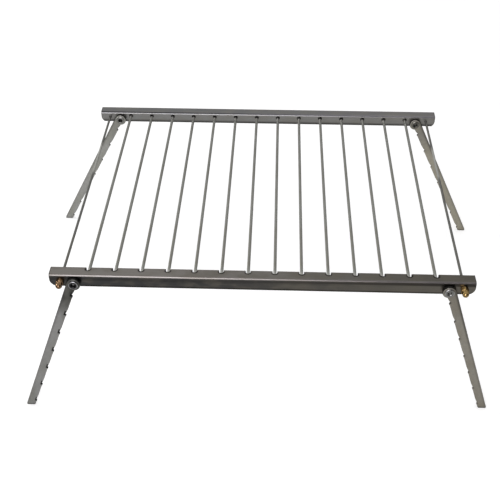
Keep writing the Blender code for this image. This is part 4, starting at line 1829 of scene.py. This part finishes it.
@dataclass
class Studio:
    """The floor, the room's light, the lamps and the camera."""

    floor: StudioFloor
    lamps: tuple[Lamp, ...]
    floor_size: float = 8.0
    room: float = 0.68
    room_front: float = 0.05
    room_back: float = 0.47
    room_left: float = 0.92
    room_right: float = 0.64
    room_tilt: float = 0.55
    back_bounds: Point = (-0.30, 0.60)
    side_bounds: Point = (-0.8, 0.8)
    camera_place: Triple = (0.00840, -0.62908, 0.58772)
    looks_down: float = 39.8866
    looks_left: float = 1.7446
    roll: float = 0.2847
    sensor: float = 36.0
    lens: float = 65.385
    nearest: float = 0.01

    def lay_floor(self) -> None:
        """Adds the floor."""
        half = self.floor_size / 2
        solid = Solid()
        corners = ((-half, -half), (half, -half), (half, half), (-half, half))
        solid.builder.faces.new(solid.ring(Vector((x, y, 0)) for x, y in corners))
        thing = add_object("studio_floor", solid.mesh("studio_floor"))
        thing.data.materials.append(self.floor.make())

    def light_room(self) -> None:
        """Lights the room: white to the lens, plain on matt things, and shaded in metal."""
        world = bpy.data.worlds.new("studio room")
        world.use_nodes = True
        bpy.context.scene.world = world
        shade = Shade(world.node_tree)
        x, y, z = shade.parts(shade.node("ShaderNodeTexCoord").outputs["Generated"])
        behind = (y + self.room_tilt * z).between(*self.back_bounds)
        side = self.room_left + (self.room_right - self.room_left) * x.between(*self.side_bounds)
        mirrored = (self.room_front + (self.room_back - self.room_front) * behind) * side
        rays = shade.node("ShaderNodeLightPath").outputs
        seen, glossy = Value(shade, rays["Is Camera Ray"]), Value(shade, rays["Is Glossy Ray"])
        plain = self.room + (1 - self.room) * seen
        light = shade.node("ShaderNodeBackground",
                           values={"Color": (1.0, 1.0, 1.0),
                                   "Strength": plain * (1 - glossy) + mirrored * glossy})
        shade.node("ShaderNodeOutputWorld", values={"Surface": light.outputs[0]})

    def set_camera(self) -> None:
        """Adds the camera."""
        data = bpy.data.cameras.new("studio camera")
        data.sensor_width, data.lens = self.sensor, self.lens
        data.clip_start = self.nearest
        thing = add_object("studio_camera", data)
        thing.matrix_world = (Matrix.Translation(self.camera_place)
                              @ Matrix.Rotation(radians(self.looks_left), 4, "Z")
                              @ Matrix.Rotation(radians(90 - self.looks_down), 4, "X")
                              @ Matrix.Rotation(radians(self.roll), 4, "Z"))
        bpy.context.scene.camera = thing

    def build(self) -> None:
        """Sets the whole studio up."""
        bpy.context.scene.view_settings.view_transform = "Standard"
        self.lay_floor()
        self.light_room()
        for lamp in self.lamps:
            lamp.hang()
        self.set_camera()
        LOG.info("studio with %d lamps", len(self.lamps))


def rail_finishes() -> dict[Row, RolledSheet]:
    """Sets the two rails' finishes: lit and shaded copies of one steel, the front one with more painted
    shade.

    Returns:
        The finish of each rail.
    """
    return {
        Row.FRONT: RolledSheet("front rail steel", top=(0.465, 0.436, 0.407), far_top=(0.240, 0.225, 0.195),
                               side=(0.135, 0.135, 0.135), far_side=(0.340, 0.315, 0.270),
                               warm=(0.330, 0.300, 0.250), dark=(0.020, 0.018, 0.018),
                               bend=(0.460, 0.430, 0.430), far_bend=(0.600, 0.550, 0.570),
                               bend_share=(0.0, 0.45), painted_shade=(0.30, 0.70), lip=0.0024, seed=1.0),
        Row.BACK: RolledSheet("back rail steel", top=(0.415, 0.415, 0.420), far_top=(0.470, 0.455, 0.455),
                              side=(0.580, 0.580, 0.565), far_side=(0.600, 0.590, 0.560),
                              warm=(0.520, 0.500, 0.450), dark=(0.040, 0.038, 0.036),
                              bend=(0.110, 0.110, 0.118), far_bend=(0.620, 0.600, 0.660),
                              bend_share=(0.80, 0.50), painted_shade=(0.0, 0.0), lip=0.0036, seed=21.0),
    }


def leg_finishes() -> dict[tuple[Row, Side], TumbledStrip]:
    """Sets the legs' finishes: lit and shaded copies of one steel, those on the right warmer.

    Returns:
        The finish of each leg.
    """
    # Each leg's face and head are painted lighter or darker for how it is lit.
    cool_rim, tan_rim = (0.160, 0.160, 0.155), (0.180, 0.172, 0.150)
    return {
        (Row.FRONT, Side.LEFT): TumbledStrip(
            "leg steel front left", face=(0.670, 0.670, 0.655), head=(0.150, 0.150, 0.135),
            warm=(0.550, 0.545, 0.490), rim=cool_rim, notch_shade=0.92, seed=1.0),
        (Row.BACK, Side.LEFT): TumbledStrip(
            "leg steel back left", face=(0.880, 0.880, 0.840), head=(0.700, 0.700, 0.640),
            warm=(0.740, 0.740, 0.640), rim=cool_rim, seed=2.0),
        (Row.FRONT, Side.RIGHT): TumbledStrip(
            "leg steel front right", face=(0.740, 0.700, 0.610), head=(0.570, 0.540, 0.475),
            warm=(0.640, 0.585, 0.480), rim=tan_rim, shaded_back=0.65, sole_darkening=0.7, seed=3.0),
        (Row.BACK, Side.RIGHT): TumbledStrip(
            "leg steel back right", face=(0.920, 0.870, 0.720), head=(0.660, 0.635, 0.560),
            warm=(0.800, 0.740, 0.580), rim=tan_rim, shaded_back=0.55, sole_darkening=0.6, seed=4.0),
    }


def rivet_finishes() -> dict[tuple[Row, Side], PunchedSteel]:
    """Sets the rivets' finishes: each copy has its own painted highlight and shade.

    Returns:
        The finish of each rivet.
    """
    return {
        (Row.FRONT, Side.LEFT): PunchedSteel("rivet steel front left", face=(0.100, 0.100, 0.100),
                                             ring=(0.680, 0.680, 0.690), bore_middle=(0.460, 0.460, 0.460),
                                             bore_middle_radius=0.0012, seed=1.0),
        (Row.BACK, Side.LEFT): PunchedSteel("rivet steel back left", face=(0.480, 0.480, 0.450),
                                            ring=(0.540, 0.540, 0.520), pit_radius=0.0023,
                                            bore_middle_radius=0.0, seed=2.0),
        (Row.FRONT, Side.RIGHT): PunchedSteel("rivet steel front right", face=(0.480, 0.480, 0.460),
                                              ring=(0.720, 0.720, 0.710), pit=(0.420, 0.420, 0.405),
                                              pit_radius=0.0016, bore_middle_radius=0.0, seed=3.0),
        (Row.BACK, Side.RIGHT): PunchedSteel("rivet steel back right", face=(0.420, 0.410, 0.360),
                                             ring=(0.460, 0.450, 0.400), pit=(0.200, 0.195, 0.170),
                                             seed=4.0),
    }


def main() -> None:
    """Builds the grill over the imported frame, and the studio round it."""
    logging.basicConfig(level=logging.INFO, format="%(name)s: %(message)s")
    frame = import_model()
    layout = Layout()
    stance = Stance(frame["joints"], layout)
    LOG.info("frame tipped %.2f degrees", degrees(stance.turn.to_euler().x))
    shop = Workshop(stance)
    for row, finish in rail_finishes().items():
        Rail(layout, row, finish).build(shop)
    wire = DrawnWire("rod steel", colour=(0.560, 0.565, 0.520), stain=(0.440, 0.430, 0.370),
                     bend_light_and_end_colour=(0.860, 0.850, 0.800), ends=(-0.2387, 0.0081), seed=3.0)
    dark_wire = DrawnWire("tie rod steel", colour=(0.320, 0.320, 0.300), stain=(0.400, 0.385, 0.330),
                          bend_light_and_end_colour=(0.380, 0.370, 0.340), ends=(-0.1350, 0.1302),
                          sheen_share=0.85, roughness=0.36, seed=8.0)
    Grate(layout, wire, dark_wire).build(shop)
    # Painted light: one brass in lit and shaded copies, the left pair darker and browner.
    brass = {Side.LEFT: TurnedMetal("brass left", colour=(0.560, 0.360, 0.200),
                                    tarnish=(0.260, 0.140, 0.070), seed=2.0),
             Side.RIGHT: TurnedMetal("brass right", colour=(0.780, 0.540, 0.220),
                                     tarnish=(0.420, 0.250, 0.090), seed=6.0)}
    Nuts(layout, brass).build(shop)
    Legs(layout, leg_finishes()).build(shop)
    black = TurnedMetal("washer steel", colour=(0.030, 0.030, 0.033), tarnish=(0.050, 0.046, 0.042),
                        roughness=0.42, seed=5.0)
    Pivots(layout, rivet_finishes(), black).build(shop)
    LOG.info("%d pieces", shop.count)
    window = Lamp("window", size=(0.75, 1.20), place=(-0.28, -1.25, 0.62), target=(-0.10, -0.05, 0.10),
                  power=6.6, colour=(0.97, 0.95, 1.0))
    side_box = Lamp("side box", size=(0.20, 0.20), place=(-1.15, 0.38, 0.38),
                    target=(-0.05, -0.05, 0.13), power=3.6, colour=(1.0, 0.98, 0.95))
    Studio(StudioFloor(), (window, side_box)).build()


if __name__ == "__main__":
    main()
